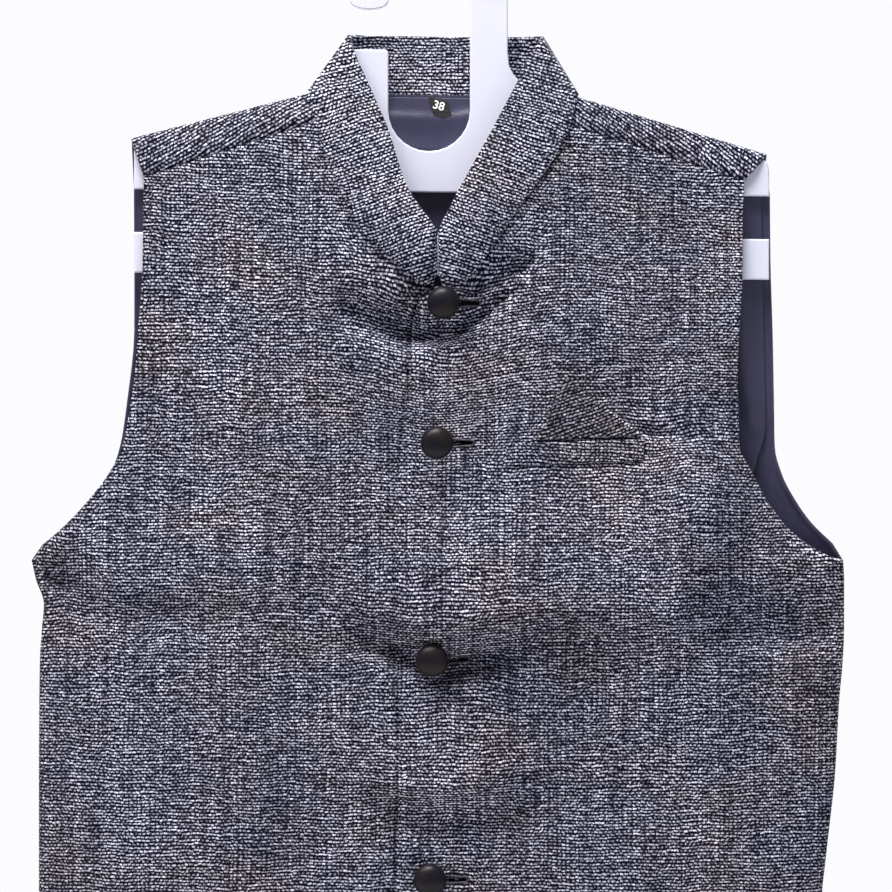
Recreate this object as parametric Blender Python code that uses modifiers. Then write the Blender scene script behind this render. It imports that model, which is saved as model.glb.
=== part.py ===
"""Sleeveless band-collar jacket, buttoned and hung on a flat plastic hanger.

Lengths in the tables are millimetres. X runs to the wearer's left, Z up, and the
front of the jacket faces -Y. The origin is where a rail carries the hook: the
middle of the hook's inner top. Depths are distances in front of the hanger's mid
plane for the fronts, and behind it for the back.
"""
import math

import bmesh
import bpy
from mathutils import Vector

MM = 0.001

# ---------------------------------------------------------------- driving sizes
GAP = 0.3                  # clearance at seams and between layers
END_CLEAR = 0.25           # each collar end from the centre front
WALL = 1.6                 # outer cloth with its fusing
COLLAR_WALL = 2.4          # two layers of cloth and a stiffener
LINING_WALL = 1.0
POCKET_WALL = 1.2
LABEL_WALL = 0.8

CENTRE_X = 6.0             # centre front line, from the hook
HEM_Z = -791.0
UNDERARM_Z = -385.5        # top of the side seams
TURN = 1.85                # depth of the edge turned in at armholes and sides

RIDGE_RADIUS = 5.8         # outer bend of the shoulders over the hanger
NECK_Y = 7.0               # back of the neck
PLATE = 4.0                # hanger thickness
PLATE_EDGE = 0.9           # rounding of the hanger's edges
PLATE_DROP = 2.1           # hanger edge below the shoulder ridge

BUTTON_RADIUS = 10.2
BUTTON_DOME = 7.4          # height of the dome above the button's back
BUTTON_RIM = 1.2           # height of the straight rim under the dome
BUTTON_CHAMFER = 0.9
SHANK_RADIUS = 2.2
SHANK_FLARE = 0.8          # the shank widens this much into the button's back
SHANK_CLEAR = 0.7          # from the shank's foot to the front beneath

# ------------------------------------------------------------- tables, in mm
# Neck corner, ridge tip and seam end of each shoulder.
SHOULDERS = {
    "right": dict(neck=(-74.4, -91.9), tip=(-186.9, -120.6),
                  seam_in=(-70.6, -110.0), seam_out=(-178.8, -145.0)),
    "left": dict(neck=(92.5, -94.4), tip=(211.9, -130.6),
                 seam_in=(88.8, -112.5), seam_out=(197.5, -147.5)),
}

# Side seams: height, wearer's right, wearer's left.
SIDE_SEAMS = [
    (-385.5, -249.6, 260.0),
    (-397.5, -246.9, 260.6),
    (-413.0, -241.9, 260.6),
    (-428.0, -243.1, 260.6),
    (-447.5, -244.4, 259.8),
    (-474.0, -244.8, 257.5),
    (-518.0, -245.0, 255.0),
    (-570.0, -245.0, 249.4),
    (-600.0, -245.0, 246.6),
    (-690.0, -246.0, 247.6),
    (-791.0, -247.0, 250.6),
]

# A front's rows above the side seam: inner edge x, z, outer edge x, z, cuts below.
FRONT_RIGHT_ROWS = [
    (-70.6, -110.0, -178.8, -145.0, 2),
    (-66.2, -124.0, -179.0, -160.0, 2),
    (-59.4, -143.1, -179.2, -180.0, 2),
    (-48.1, -166.9, -179.4, -203.0, 1),
    (-38.8, -181.5, -180.4, -222.0, 1),
    (-26.9, -192.5, -182.0, -241.0, 1),
    (-13.8, -204.4, -183.0, -256.0, 1),
    (-4.4, -211.5, -183.8, -267.0, 1),
    (4.4, -213.8, -185.0, -276.0, 1),
    (20.0, -217.0, -186.6, -287.0, 3),
    (20.0, -241.2, -189.2, -302.0, 3),
    (20.0, -262.5, -192.2, -315.0, 2),
    (20.0, -290.0, -200.6, -331.2, 1),
    (20.0, -315.0, -208.6, -342.0, 1),
    (20.0, -338.0, -217.6, -352.5, 1),
    (20.0, -357.0, -230.0, -365.0, 1),
    (20.0, -374.0, -243.0, -376.0, 1),
]
FRONT_LEFT_ROWS = [
    (88.8, -112.5, 197.5, -147.5, 2),
    (79.4, -131.9, 196.6, -165.0, 2),
    (66.2, -151.2, 196.2, -184.0, 2),
    (54.4, -166.9, 196.2, -202.0, 1),
    (46.2, -178.8, 195.6, -218.0, 2),
    (33.1, -198.1, 194.4, -238.0, 1),
    (23.1, -210.0, 193.5, -253.0, 1),
    (14.4, -214.0, 193.1, -264.0, 1),
    (7.5, -214.4, 193.1, -272.0, 1),
    (-2.5, -216.3, 193.3, -282.0, 3),
    (-10.6, -241.2, 193.8, -298.0, 3),
    (-11.2, -262.5, 194.4, -313.8, 2),
    (-13.8, -287.0, 203.0, -332.0, 1),
    (-16.9, -313.0, 213.0, -350.0, 1),
    (-18.8, -335.6, 224.0, -364.0, 1),
    (-20.0, -355.0, 236.5, -374.8, 1),
    (-20.6, -373.0, 250.0, -382.4, 1),
]

# Free edge of the lapped front: height, x.
LAP_EDGE = [(-216.3, -2.5), (-241.2, -10.6), (-262.5, -11.2), (-287.0, -13.8), (-313.0, -16.9),
            (-355.0, -20.0), (-385.5, -20.6), (-435.0, -20.6), (-490.0, -18.1), (-592.0, -20.0),
            (-791.0, -20.0)]
STAND_X = 20.0             # edge of the front beneath it
LAP = WALL + GAP + 0.1     # the front beneath is this much further back
UNDER_FOLD = 2.6           # and more so under the steep fold at the first button

# The back's rows: height and x at its right and left edge, rise at the neck, cuts.
BACK_ROWS = [
    (-150.0, -185.7, -157.0, 214.3, 25.0, 2),
    (-195.0, -185.6, -197.0, 214.8, 15.0, 1),
    (-241.0, -185.7, -243.0, 216.3, 6.0, 1),
    (-283.8, -190.0, -290.0, 217.2, 1.0, 1),
    (-313.8, -194.6, -313.8, 217.6, 0.0, 1),
    (-331.2, -201.0, -331.2, 221.9, 0.0, 1),
    (-347.5, -212.6, -347.5, 230.2, 0.0, 1),
    (-362.0, -226.6, -362.0, 240.4, 0.0, 1),
    (-375.0, -241.4, -375.0, 253.6, 0.0, 1),
]

# How far the cloth hangs from the hanger: distance below the shoulder, front, back.
HANG = [
    (0.0, 0.0, 0.0),
    (30.0, 1.5, 1.0),
    (75.0, 6.0, 4.5),
    (125.0, 11.5, 8.5),
    (200.0, 16.5, 12.5),
    (330.0, 21.0, 16.5),
    (480.0, 23.0, 18.0),
    (720.0, 25.0, 20.0),
]
# Depth of the free armhole edges and the sides: height, front, back.
EDGE_DEPTH = [
    (-90.0, 5.8, 5.8),
    (-150.0, 5.8, 5.8),
    (-230.0, 9.5, 9.0),
    (-300.0, 10.0, 9.5),
    (-345.0, 7.5, 7.5),
    (-385.5, 0.0, 4.0),
    (-800.0, 0.0, 4.0),
]

# Soft folds of the fronts: middle x, z, slope, half length, reach above, below, height.
FRONT_FOLDS = [
    (-14.0, -247.0, -0.42, 34.0, 5.0, 30.0, 7.0),
    (32.0, -243.0, 0.80, 34.0, 5.0, 34.0, 8.5),
    (10.0, -226.0, 0.05, 26.0, 13.0, 13.0, -4.0),
    (36.0, -404.0, -0.02, 95.0, 62.0, 17.0, 6.5),
    (14.0, -512.0, 0.04, 70.0, 48.0, 20.0, 4.5),
    (-4.0, -652.0, -0.05, 85.0, 55.0, 20.0, 5.0),
    (-190.0, -402.0, 0.03, 60.0, 26.0, 9.0, 3.6),
    (190.0, -408.0, -0.10, 70.0, 34.0, 12.0, 4.0),
    (-120.0, -330.0, 0.15, 50.0, 40.0, 34.0, 2.4),
    (120.0, -560.0, 0.10, 80.0, 50.0, 34.0, 2.6),
    (-130.0, -620.0, -0.12, 80.0, 46.0, 36.0, 2.8),
]
BACK_FOLDS = [
    (-60.0, -250.0, 0.35, 80.0, 38.0, 22.0, 3.2),
    (90.0, -262.0, -0.30, 80.0, 36.0, 24.0, 3.0),
    (10.0, -420.0, 0.05, 120.0, 52.0, 22.0, 4.0),
    (-110.0, -560.0, -0.10, 90.0, 48.0, 26.0, 3.4),
    (120.0, -610.0, 0.12, 90.0, 52.0, 26.0, 3.6),
]

# Upper edge of the collar, from the centre front round each shoulder fold:
# share of the way, x, z, y.
COLLAR_TOP_RIGHT = [
    (0.00, 4.6, -178.4, -17.5),
    (0.24, -13.8, -152.5, -14.5),
    (0.52, -25.6, -116.2, -11.0),
    (0.76, -37.5, -88.0, -8.6),
    (0.92, -46.6, -66.5, -6.4),
    (1.00, -48.6, -56.4, 0.0),
]
COLLAR_TOP_LEFT = [
    (0.00, 6.0, -178.4, -19.0),
    (0.24, 19.4, -152.5, -15.5),
    (0.52, 37.6, -119.4, -11.5),
    (0.80, 56.2, -83.8, -8.6),
    (0.93, 65.6, -66.0, -6.2),
    (1.00, 69.6, -57.4, 0.0),
]
COLLAR_TOP_BACK = [
    (0.00, -48.6, -56.4, 0.0),
    (0.10, -40.0, -55.7, 6.4),
    (0.30, -16.0, -55.6, 8.6),
    (0.50, 10.5, -56.0, 9.4),
    (0.70, 37.0, -56.2, 8.6),
    (0.90, 61.0, -56.4, 6.4),
    (1.00, 69.6, -57.4, 0.0),
]

# Buttons: x, z, back of the button above the cloth.
BUTTONS = [
    (8.8, -224.4, 3.0),
    (5.0, -311.9, 1.4),
    (1.9, -446.9, 1.4),
    (0.6, -583.1, 1.4),
    (0.0, -718.8, 1.4),
]
HOLE_BACK = 3.4            # a buttonhole starts this far beside its button's axis
HOLE_LENGTH = 25.0
HOLE_WIDE = 5.4
HOLE_NARROW = 2.4
HOLE_CLEAR = 3.0           # the cutter stands out this far in front of the cloth
HOLE_SHORT = 0.2           # and ends this far in front of the front beneath

# Breast pocket on the wearer's left: corners x, z.
WELT = dict(top_in=(48.8, -312.5), top_out=(135.0, -309.6), low_in=(46.4, -326.0), low_out=(133.6, -323.2))
POINT = dict(peak=(85.4, -272.0), low_in=(67.5, -311.2), low_out=(134.6, -308.8))
LABEL = dict(x=5.6, z=-95.4, width=12.4, height=12.6, lean=0.16)

# Hanger: half widths and heights from the hook's inner top.
HOOK_INNER = 25.6          # radius of the rail's seat and of the slot's foot
HOOK_OUTER = 49.4
HOOK_TOP = 16.0            # thickness over the rail
HOOK_TIP_Z = -38.0
PRONG_Z = -65.0
SLOT_FOOT_Z = -103.2
NECK_Z = -70.0             # where the neck widens into the shoulders
PLATE_LOW_Z = -154.6
BAR_TOP_Z = -181.6
BAR_LOW_Z = -207.0
PLATE_TILT = 0.0115        # drop of the lower edges towards the wearer's left
END_RIGHT = -185.2
END_LEFT = 213.4
END_CORNER = [(10.0, 0.0), (4.0, 1.2), (1.0, 3.4), (0.0, 7.0)]
WEB_X = (-112.0, 124.0)
WEB_WIDTH = 14.0

# Spacing of the rows below the side seam: above and below a height.
ROW_CHANGE_Z = -440.0
ROW_PITCH = (12.0, 22.0)
BACK_PITCH = (14.0, 26.0)


# ------------------------------------------------------------------ small maths
def clamp(value):
    return max(0.0, min(1.0, value))


def ease(start, end, value):
    """0 at start, 1 at end, level at both."""
    t = clamp((value - start) / (end - start))
    return t * t * (3.0 - 2.0 * t)


def mix(a, b, t):
    return a + (b - a) * t


def curve_through(knots, values, at):
    """A smooth curve through values at rising knots that never overshoots them."""
    if at <= knots[0]:
        return values[0]
    if at >= knots[-1]:
        return values[-1]
    i = max(k for k in range(len(knots) - 1) if knots[k] <= at)
    step = knots[i + 1] - knots[i]

    def slope(k):
        if k <= 0 or k >= len(knots) - 1:
            j = max(0, min(k, len(knots) - 2))
            return (values[j + 1] - values[j]) / (knots[j + 1] - knots[j])
        before = (values[k] - values[k - 1]) / (knots[k] - knots[k - 1])
        after = (values[k + 1] - values[k]) / (knots[k + 1] - knots[k])
        if before * after <= 0.0:
            return 0.0
        return 2.0 * before * after / (before + after)

    t = (at - knots[i]) / step
    return (values[i] * (1 + 2 * t) * (1 - t) ** 2 + values[i + 1] * t * t * (3 - 2 * t)
            + step * (slope(i) * t * (1 - t) ** 2 - slope(i + 1) * t * t * (1 - t)))


def column(table, name_index, at, key=0, falling=False):
    """Read one column of a table at a value of its key column."""
    sign = -1.0 if falling else 1.0
    knots = [sign * row[key] for row in table]
    values = [row[name_index] for row in table]
    return curve_through(knots, values, sign * at)


# ------------------------------------------------------------ the jacket's form
def shoulder_line(x):
    """Height of the shoulder seams' line above any x."""
    return -111.2 - 0.323 * (abs(x - 9.0) - 80.0)


def folds(table, x, z):
    """Sum of soft folds, each rounder on one side than on the other."""
    total = 0.0
    for mid_x, mid_z, slope, half, above, below, height in table:
        along = (x - mid_x) / half
        across = (z - mid_z) - slope * (x - mid_x)
        reach = above if across > 0.0 else below
        total += height * math.exp(-along ** 4 - (across / reach) ** 2)
    return total


def hanging(x, z, share, edge_z, side):
    """Depth of the cloth: share is 0 at the centre and 1 at the outer edge."""
    which = 1 if side == "front" else 2
    drop = max(0.0, shoulder_line(x) - z)
    full = RIDGE_RADIUS + column(HANG, which, drop)
    edge = column(EDGE_DEPTH, which, edge_z, falling=True)
    round_off = mix(1.3, 2.0, ease(-300.0, UNDERARM_Z, edge_z))
    level = clamp(1.0 - share ** 3) ** (1.0 / round_off)
    table = FRONT_FOLDS if side == "front" else BACK_FOLDS
    rumple = folds(table, x, z) * (1.0 - share ** 6)
    rumple *= ease(4.0, 60.0, drop)
    return edge + (full - edge) * level + rumple


def row_at(table, at):
    """Inner and outer edge points of a front at a place down its rows."""
    knots = list(range(len(table)))
    return [curve_through(knots, [row[c] for row in table], at) for c in range(4)]


def front_rows(side):
    """All rows of a front: the table's, with their cuts, then those to the hem."""
    table = FRONT_RIGHT_ROWS if side == "right" else FRONT_LEFT_ROWS
    seam = 1 if side == "right" else 2
    rows = []
    for i, entry in enumerate(table[:-1]):
        for k in range(entry[4]):
            rows.append(row_at(table, i + k / entry[4]))
    rows.append(list(table[-1][:4]))
    z = UNDERARM_Z
    while z > HEM_Z + 1.0:
        rows.append([inner_x(side, z), z, column(SIDE_SEAMS, seam, z, falling=True), z])
        z -= ROW_PITCH[0] if z > ROW_CHANGE_Z else ROW_PITCH[1]
    rows.append([inner_x(side, HEM_Z), HEM_Z, SIDE_SEAMS[-1][seam], HEM_Z])
    return rows


def inner_x(side, z):
    if side == "right":
        return STAND_X
    return column(LAP_EDGE, 1, z, falling=True)


def lap_step(x, z):
    """How far the front beneath is set back where the other laps over it."""
    edge = inner_x("left", z)
    under_fold = UNDER_FOLD * ease(-212.0, -222.0, z) * ease(-335.0, -285.0, z)
    return (LAP + under_fold) * ease(edge - 16.0, edge - 3.0, x) * ease(-196.0, -211.0, z)


def front_point(side, row, across):
    """A point of a front's outer face, on one of its rows."""
    x_in, z_in, x_out, z_out = row
    x = mix(x_in, x_out, across)
    z = mix(z_in, z_out, across)
    share = clamp((x - CENTRE_X) / (x_out - CENTRE_X))
    depth = hanging(x, z, share, z_out, "front")
    if side == "right":
        depth -= lap_step(x, z)
    return Vector((x, -depth, z))


def on_front(side, x, z, lift=0.0):
    """A point of a front's outer face at a given x and z, moved out by lift."""
    rows = front_rows(side)
    for upper, lower in zip(rows, rows[1:]):
        t_up = clamp((x - upper[0]) / (upper[2] - upper[0]))
        t_low = clamp((x - lower[0]) / (lower[2] - lower[0]))
        z_up = mix(upper[1], upper[3], t_up)
        z_low = mix(lower[1], lower[3], t_low)
        if z_low <= z <= z_up:
            t = (z_up - z) / max(z_up - z_low, 1e-6)
            y = mix(front_point(side, upper, t_up).y, front_point(side, lower, t_low).y, t)
            return Vector((x, y - lift, z))
    raise ValueError("off the front")


# ------------------------------------------------------------- building helpers
def clear_scene():
    for obj in list(bpy.data.objects):
        bpy.data.objects.remove(obj, do_unlink=True)


def material(name, colour, roughness):
    made = bpy.data.materials.new(name)
    made.use_nodes = True
    shader = made.node_tree.nodes["Principled BSDF"]
    shader.inputs["Base Color"].default_value = (*colour, 1.0)
    shader.inputs["Roughness"].default_value = roughness
    shader.inputs["Metallic"].default_value = 0.0
    return made


def add_object(name, data, finish, collection):
    obj = bpy.data.objects.new(name, data)
    if finish is not None:
        data.materials.append(finish)
    collection.objects.link(obj)
    return obj


def mesh_object(name, bm, finish, collection):
    mesh = bpy.data.meshes.new(name)
    bm.to_mesh(mesh)
    bm.free()
    mesh.shade_smooth()
    return add_object(name, mesh, finish, collection)


def grid_sheet(columns, rows, place, outwards, without=None):
    """A grid of cells whose corners place(i, j) puts, in mm, facing outwards."""
    bm = bmesh.new()
    bmesh.ops.create_grid(bm, x_segments=columns, y_segments=rows, size=0.5)
    if without is not None:
        cut = []
        for face in bm.faces:
            middle = face.calc_center_median()
            if without(int((middle.x + 0.5) * columns), int((middle.y + 0.5) * rows)):
                cut.append(face)
        bmesh.ops.delete(bm, geom=cut, context="FACES")
    for vert in bm.verts:
        i = round((vert.co.x + 0.5) * columns)
        j = round((vert.co.y + 0.5) * rows)
        vert.co = place(i, j) * MM
    bm.normal_update()
    middle = min(bm.faces, key=lambda f: (f.calc_center_median() - Vector(outwards) * MM).length)
    facing = 1.0 if outwards[1] > 0.0 else -1.0
    if middle.normal.y * facing < 0.0:
        bmesh.ops.reverse_faces(bm, faces=bm.faces[:])
    return bm


def thicken(obj, wall):
    shell = obj.modifiers.new("wall", "SOLIDIFY")
    shell.thickness = wall * MM
    shell.offset = -1.0
    shell.use_even_offset = True
    return obj


# ------------------------------------------------------------------- the fronts
FRONT_COLUMNS = 16


def front(side, finish, collection):
    """One front, its outer edge turned in along the armhole and the side."""
    rows = front_rows(side)

    def place(i, j):
        row = rows[j]
        if j == 0:
            row = [row[0], row[1] - GAP, row[2], row[3] - GAP]
        q = min(i, FRONT_COLUMNS) / FRONT_COLUMNS
        point = front_point(side, row, 1.25 * q - 0.25 * q * q)
        if i > FRONT_COLUMNS:
            point.y += TURN
        return point

    aim = (100.0 if side == "left" else -100.0, -20.0, -500.0)
    bm = grid_sheet(FRONT_COLUMNS + 1, len(rows) - 1, place, aim)
    return thicken(mesh_object("front_" + side, bm, finish, collection), WALL)


def buttonhole_cutter(collection):
    """Tapered slits beside the buttons, through the lapped front only."""
    bm = bmesh.new()
    for x, z, _ in BUTTONS:
        y = on_front("left", x, z).y
        under = on_front("right", x, z).y
        outline = []
        for k in range(9):
            angle = math.pi / 2 + math.pi * k / 8
            outline.append((x - HOLE_BACK + HOLE_WIDE / 2 + HOLE_WIDE / 2 * math.cos(angle),
                            z + HOLE_WIDE / 2 * math.sin(angle)))
        for k in range(5):
            angle = -math.pi / 2 + math.pi * k / 4
            outline.append((x - HOLE_BACK + HOLE_LENGTH + HOLE_NARROW / 2 * math.cos(angle),
                            z + HOLE_NARROW / 2 * math.sin(angle)))
        corners = [bm.verts.new(Vector((px, y - HOLE_CLEAR, pz)) * MM) for px, pz in outline]
        face = bm.faces.new(corners)
        pushed = bmesh.ops.extrude_face_region(bm, geom=[face])
        moved = [v for v in pushed["geom"] if isinstance(v, bmesh.types.BMVert)]
        bmesh.ops.translate(bm, verts=moved, vec=(0.0, (HOLE_CLEAR + under - y - HOLE_SHORT) * MM, 0.0))
    bmesh.ops.recalc_face_normals(bm, faces=bm.faces[:])
    cutter = mesh_object("buttonhole_cutter", bm, None, collection)
    cutter.hide_render = True
    cutter.display_type = "WIRE"
    return cutter


# --------------------------------------------------------------------- the back
BACK_COLUMNS = 24          # between the two turned edges
NECK_COLUMN = 7            # columns from a shoulder tip to the neck
WRAP_STEPS = 3             # cells from the ridge down either side of the bend
STRIP_STEPS = 2            # cells from the bend to the shoulder seam


def ridge_point(u):
    """The ridge line from shoulder tip to tip, level across the neck."""
    right, left = SHOULDERS["right"], SHOULDERS["left"]
    neck_u = NECK_COLUMN / BACK_COLUMNS
    if u < neck_u:
        return [mix(right["tip"][k], right["neck"][k], u / neck_u) for k in range(2)]
    if u > 1.0 - neck_u:
        return [mix(left["tip"][k], left["neck"][k], (1.0 - u) / neck_u) for k in range(2)]
    t = (u - neck_u) / (1.0 - 2.0 * neck_u)
    return [mix(right["neck"][k], left["neck"][k], t) for k in range(2)]


def back_rows():
    """Rows from the hem up to the last one below the shoulder bend."""
    rows = []
    knots = list(range(len(BACK_ROWS)))
    for i, entry in enumerate(BACK_ROWS[:-1]):
        for k in range(entry[5]):
            at = i + k / entry[5]
            rows.append([curve_through(knots, [r[c] for r in BACK_ROWS], at) for c in range(5)])
    rows.append(list(BACK_ROWS[-1][:5]))
    z = UNDERARM_Z
    while z > HEM_Z + 1.0:
        rows.append([z, column(SIDE_SEAMS, 1, z, falling=True),
                     z, column(SIDE_SEAMS, 2, z, falling=True), 0.0])
        z -= BACK_PITCH[0] if z > ROW_CHANGE_Z else BACK_PITCH[1]
    rows.append([HEM_Z, SIDE_SEAMS[-1][1], HEM_Z, SIDE_SEAMS[-1][2], 0.0])
    return rows[::-1]


def crown(u):
    neck_u = NECK_COLUMN / BACK_COLUMNS
    return clamp(min(u, 1.0 - u) / neck_u)


def back_share(x, x_right, x_left):
    edge = x_left if x > CENTRE_X else x_right
    return clamp((x - CENTRE_X) / (edge - CENTRE_X))


def back_point(row, u, inset=0.0):
    """A point of the back's outer face; inset moves it in, for the lining."""
    z_right, x_right, z_left, x_left, rise = row
    x = mix(x_right, x_left, u)
    z = mix(z_right, z_left, u) + rise * crown(u)
    share = back_share(x, x_right, x_left)
    depth = hanging(x, z, share, mix(z_right, z_left, u), "back")
    return Vector((x, depth - inset, z))


def bend_point(u, angle):
    """Over the ridge: angle 0 is the back of the bend, 90 its top, 180 its front."""
    x, z = ridge_point(u)
    turn = math.radians(angle)
    y = RIDGE_RADIUS * math.cos(turn)
    if NECK_COLUMN / BACK_COLUMNS + 0.01 < u < 1.0 - NECK_COLUMN / BACK_COLUMNS - 0.01:
        y = NECK_Y
    return Vector((x, y, z - RIDGE_RADIUS * (1.0 - math.sin(turn))))


def seam_point(u, fall):
    """On the strip in front of the ridge: fall 0 under the bend, 1 at the seam."""
    side = "right" if u < 0.5 else "left"
    spec = SHOULDERS[side]
    neck_u = NECK_COLUMN / BACK_COLUMNS
    t = clamp(min(u, 1.0 - u) / neck_u)
    start = bend_point(u, 180.0)
    end_x = mix(spec["seam_out"][0], spec["seam_in"][0], t)
    end_z = mix(spec["seam_out"][1], spec["seam_in"][1], t)
    return Vector((mix(start.x, end_x, fall), -RIDGE_RADIUS, mix(start.z, end_z, fall)))


def back_grid_point(i, j, rows):
    """Corner of the back's grid: i across with the turned edges, j up from the hem."""
    u = clamp((i - 1) / BACK_COLUMNS)
    turned = TURN if i in (0, BACK_COLUMNS + 2) else 0.0
    above = j - len(rows)
    if above < 0:
        point = back_point(rows[j], u)
        point.y -= turned
        return point
    if above <= 2 * WRAP_STEPS:
        point = bend_point(u, 90.0 * above / WRAP_STEPS)
        x, z = ridge_point(u)
        centre = Vector((x, 0.0, z - RIDGE_RADIUS))
        return point - (point - centre).normalized() * turned
    point = seam_point(u, (above - 2 * WRAP_STEPS) / STRIP_STEPS)
    point.y += turned
    return point


def back(finish, collection):
    """The back, brought over both shoulders to the seams in front."""
    rows = back_rows()
    total = len(rows) + 2 * WRAP_STEPS + STRIP_STEPS
    ridge_row = len(rows) + WRAP_STEPS
    neck_columns = range(NECK_COLUMN + 1, BACK_COLUMNS - NECK_COLUMN + 1)
    bm = grid_sheet(BACK_COLUMNS + 2, total, lambda i, j: back_grid_point(i, j, rows),
                    (0.0, 20.0, -500.0), lambda i, j: i in neck_columns and j >= ridge_row)
    return thicken(mesh_object("back", bm, finish, collection), WALL)


LINING_COLUMNS = 16
LINING_INSET = WALL + GAP + 0.3
LINING_SAG = 1.6           # how much further in it hangs away from its edges


def back_lining(finish, collection):
    """Lining inside the back, from the collar and shoulders to above the hem."""
    rows = back_rows()
    rows = rows[1:-8:2] + rows[-8:]

    def place(i, j):
        share = i / LINING_COLUMNS
        if j < len(rows):
            low = ease(-300.0, -375.0, rows[j][0])
            u = mix(mix(0.014, 0.09, low), mix(0.986, 0.91, low), share)
            sag = LINING_SAG * math.sin(math.pi * share) ** 0.5 * ease(-110.0, -200.0, rows[j][0])
            return back_point(rows[j], u, LINING_INSET + sag + 2.0 * low)
        u = mix(0.008, 0.992, share)
        x, z = ridge_point(u)
        neck_u = NECK_COLUMN / BACK_COLUMNS
        neck = ease(neck_u - 0.01, neck_u + 0.05, min(u, 1.0 - u))
        y = mix(RIDGE_RADIUS, NECK_Y, neck) - LINING_INSET
        return Vector((x, y, z - mix(RIDGE_RADIUS + 1.0, 1.8, neck)))

    bm = grid_sheet(LINING_COLUMNS, len(rows), place, (0.0, 20.0, -500.0))
    return thicken(mesh_object("back_lining", bm, finish, collection), LINING_WALL)


# ------------------------------------------------------------------- the collar
COLLAR_STEPS = 4


def neck_seam():
    """The whole neck seam, with each point's share of its own stretch."""
    neck_u = NECK_COLUMN / BACK_COLUMNS
    stretches = []
    for side, u in (("right", neck_u), ("left", 1.0 - neck_u)):
        count = sum(row[4] for row in FRONT_RIGHT_ROWS[:8])
        if side == "left":
            count = sum(row[4] for row in FRONT_LEFT_ROWS[:8])
        points = [front_point(side, row, 0.0) for row in front_rows(side)[count::-1]]
        points += [seam_point(u, fall / STRIP_STEPS) for fall in range(STRIP_STEPS - 1, 0, -1)]
        points += [bend_point(u, 180.0 - 90.0 * k / WRAP_STEPS) for k in range(WRAP_STEPS + 1)]
        stretches.append(points)
    right, left = stretches
    across = [bend_point(i / BACK_COLUMNS, 90.0) for i in range(NECK_COLUMN, BACK_COLUMNS - NECK_COLUMN + 1)]
    parts = [("front_right", right), ("back", across), ("front_left", left[::-1])]
    return parts


def shares(points):
    """Each point's share of the way along a line of points."""
    run = [0.0]
    for a, b in zip(points, points[1:]):
        run.append(run[-1] + (b - a).length)
    return [r / run[-1] for r in run]


def collar_ribs():
    """Pairs of lower and upper points round the collar."""
    tables = {"front_right": COLLAR_TOP_RIGHT, "back": COLLAR_TOP_BACK, "front_left": COLLAR_TOP_LEFT}
    ribs = []
    for name, points in neck_seam():
        ways = shares(points)
        if name == "front_left":
            ways = [1.0 - way for way in ways]
        for way, low in zip(ways, points):
            top = Vector([column(tables[name], c, way) for c in (1, 3, 2)])
            if ribs and (low - ribs[-1][0]).length < 0.01:
                continue
            ribs.append((low, top))
    return ribs


def collar(finish, collection):
    """The stand collar: one band round the neck, its ends meeting in front."""
    ribs = collar_ribs()

    def place(i, j):
        low, top = ribs[i]
        clear = GAP * (2.5 if i < 3 else 1.3)
        lifted = low + (top - low).normalized() * clear
        point = lifted.lerp(top, j / COLLAR_STEPS)
        if i == 0:
            point.x -= END_CLEAR
        if i == len(ribs) - 1:
            point.x += END_CLEAR
        return point

    bm = grid_sheet(len(ribs) - 1, COLLAR_STEPS, place, (9.0, 9.0, -75.0))
    return thicken(mesh_object("collar", bm, finish, collection), COLLAR_WALL)


# ------------------------------------------------------- buttons, pocket, label
def button(number, spot, finish, collection):
    """A domed button on a shank that passes its hole to the front beneath."""
    x, z, base = spot
    cloth = on_front("left", x, z)
    reach = on_front("right", x, z).y - cloth.y - SHANK_CLEAR
    dome = BUTTON_DOME - BUTTON_RIM
    profile = [(0.0, base + BUTTON_DOME)]
    for k in range(1, 6):
        angle = math.pi / 2 * k / 6
        profile.append((BUTTON_RADIUS * math.sin(angle), base + BUTTON_RIM + dome * math.cos(angle)))
    profile += [(BUTTON_RADIUS, base + BUTTON_CHAMFER), (BUTTON_RADIUS - BUTTON_CHAMFER, base),
                (SHANK_RADIUS + SHANK_FLARE, base), (SHANK_RADIUS, base - SHANK_FLARE),
                (SHANK_RADIUS, -reach), (0.0, -reach)]
    bm = bmesh.new()
    corners = [bm.verts.new((r * MM, 0.0, h * MM)) for r, h in profile]
    for a, b in zip(corners, corners[1:]):
        bm.edges.new((a, b))
    obj = mesh_object("button_%d" % number, bm, finish, collection)
    turned = obj.modifiers.new("turned", "SCREW")
    turned.steps = 16
    turned.render_steps = 16
    turned.use_merge_vertices = True
    turned.merge_threshold = 0.00001
    turned.use_normal_calculate = True
    obj.location = Vector((x, cloth.y, z)) * MM
    obj.rotation_euler = (math.pi / 2, 0.0, 0.0)
    return obj


def patch(name, corners, columns, rows, lift, wall, finish, collection, narrow=1.0):
    """A flat piece lying on the wearer's left front, between four corners."""
    def place(i, j):
        across = i / columns
        down = j / rows
        upper = [mix(corners["top_in"][k], corners["top_out"][k], across) for k in range(2)]
        lower = [mix(corners["low_in"][k], corners["low_out"][k], across) for k in range(2)]
        x, z = (mix(upper[k], lower[k], down) for k in range(2))
        return on_front("left", x, z, lift + wall)

    bm = grid_sheet(columns, rows, place, (90.0, -20.0, -310.0))
    return thicken(mesh_object(name, bm, finish, collection), wall)


def pocket_point(finish, collection):
    """The folded cloth that stands out of the pocket, a blunt triangle."""
    peak_x, peak_z = POINT["peak"]
    corners = dict(POINT, top_in=(peak_x - 1.2, peak_z), top_out=(peak_x + 1.2, peak_z))
    return patch("pocket_point", corners, 5, 5, GAP, POCKET_WALL, finish, collection)


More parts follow.
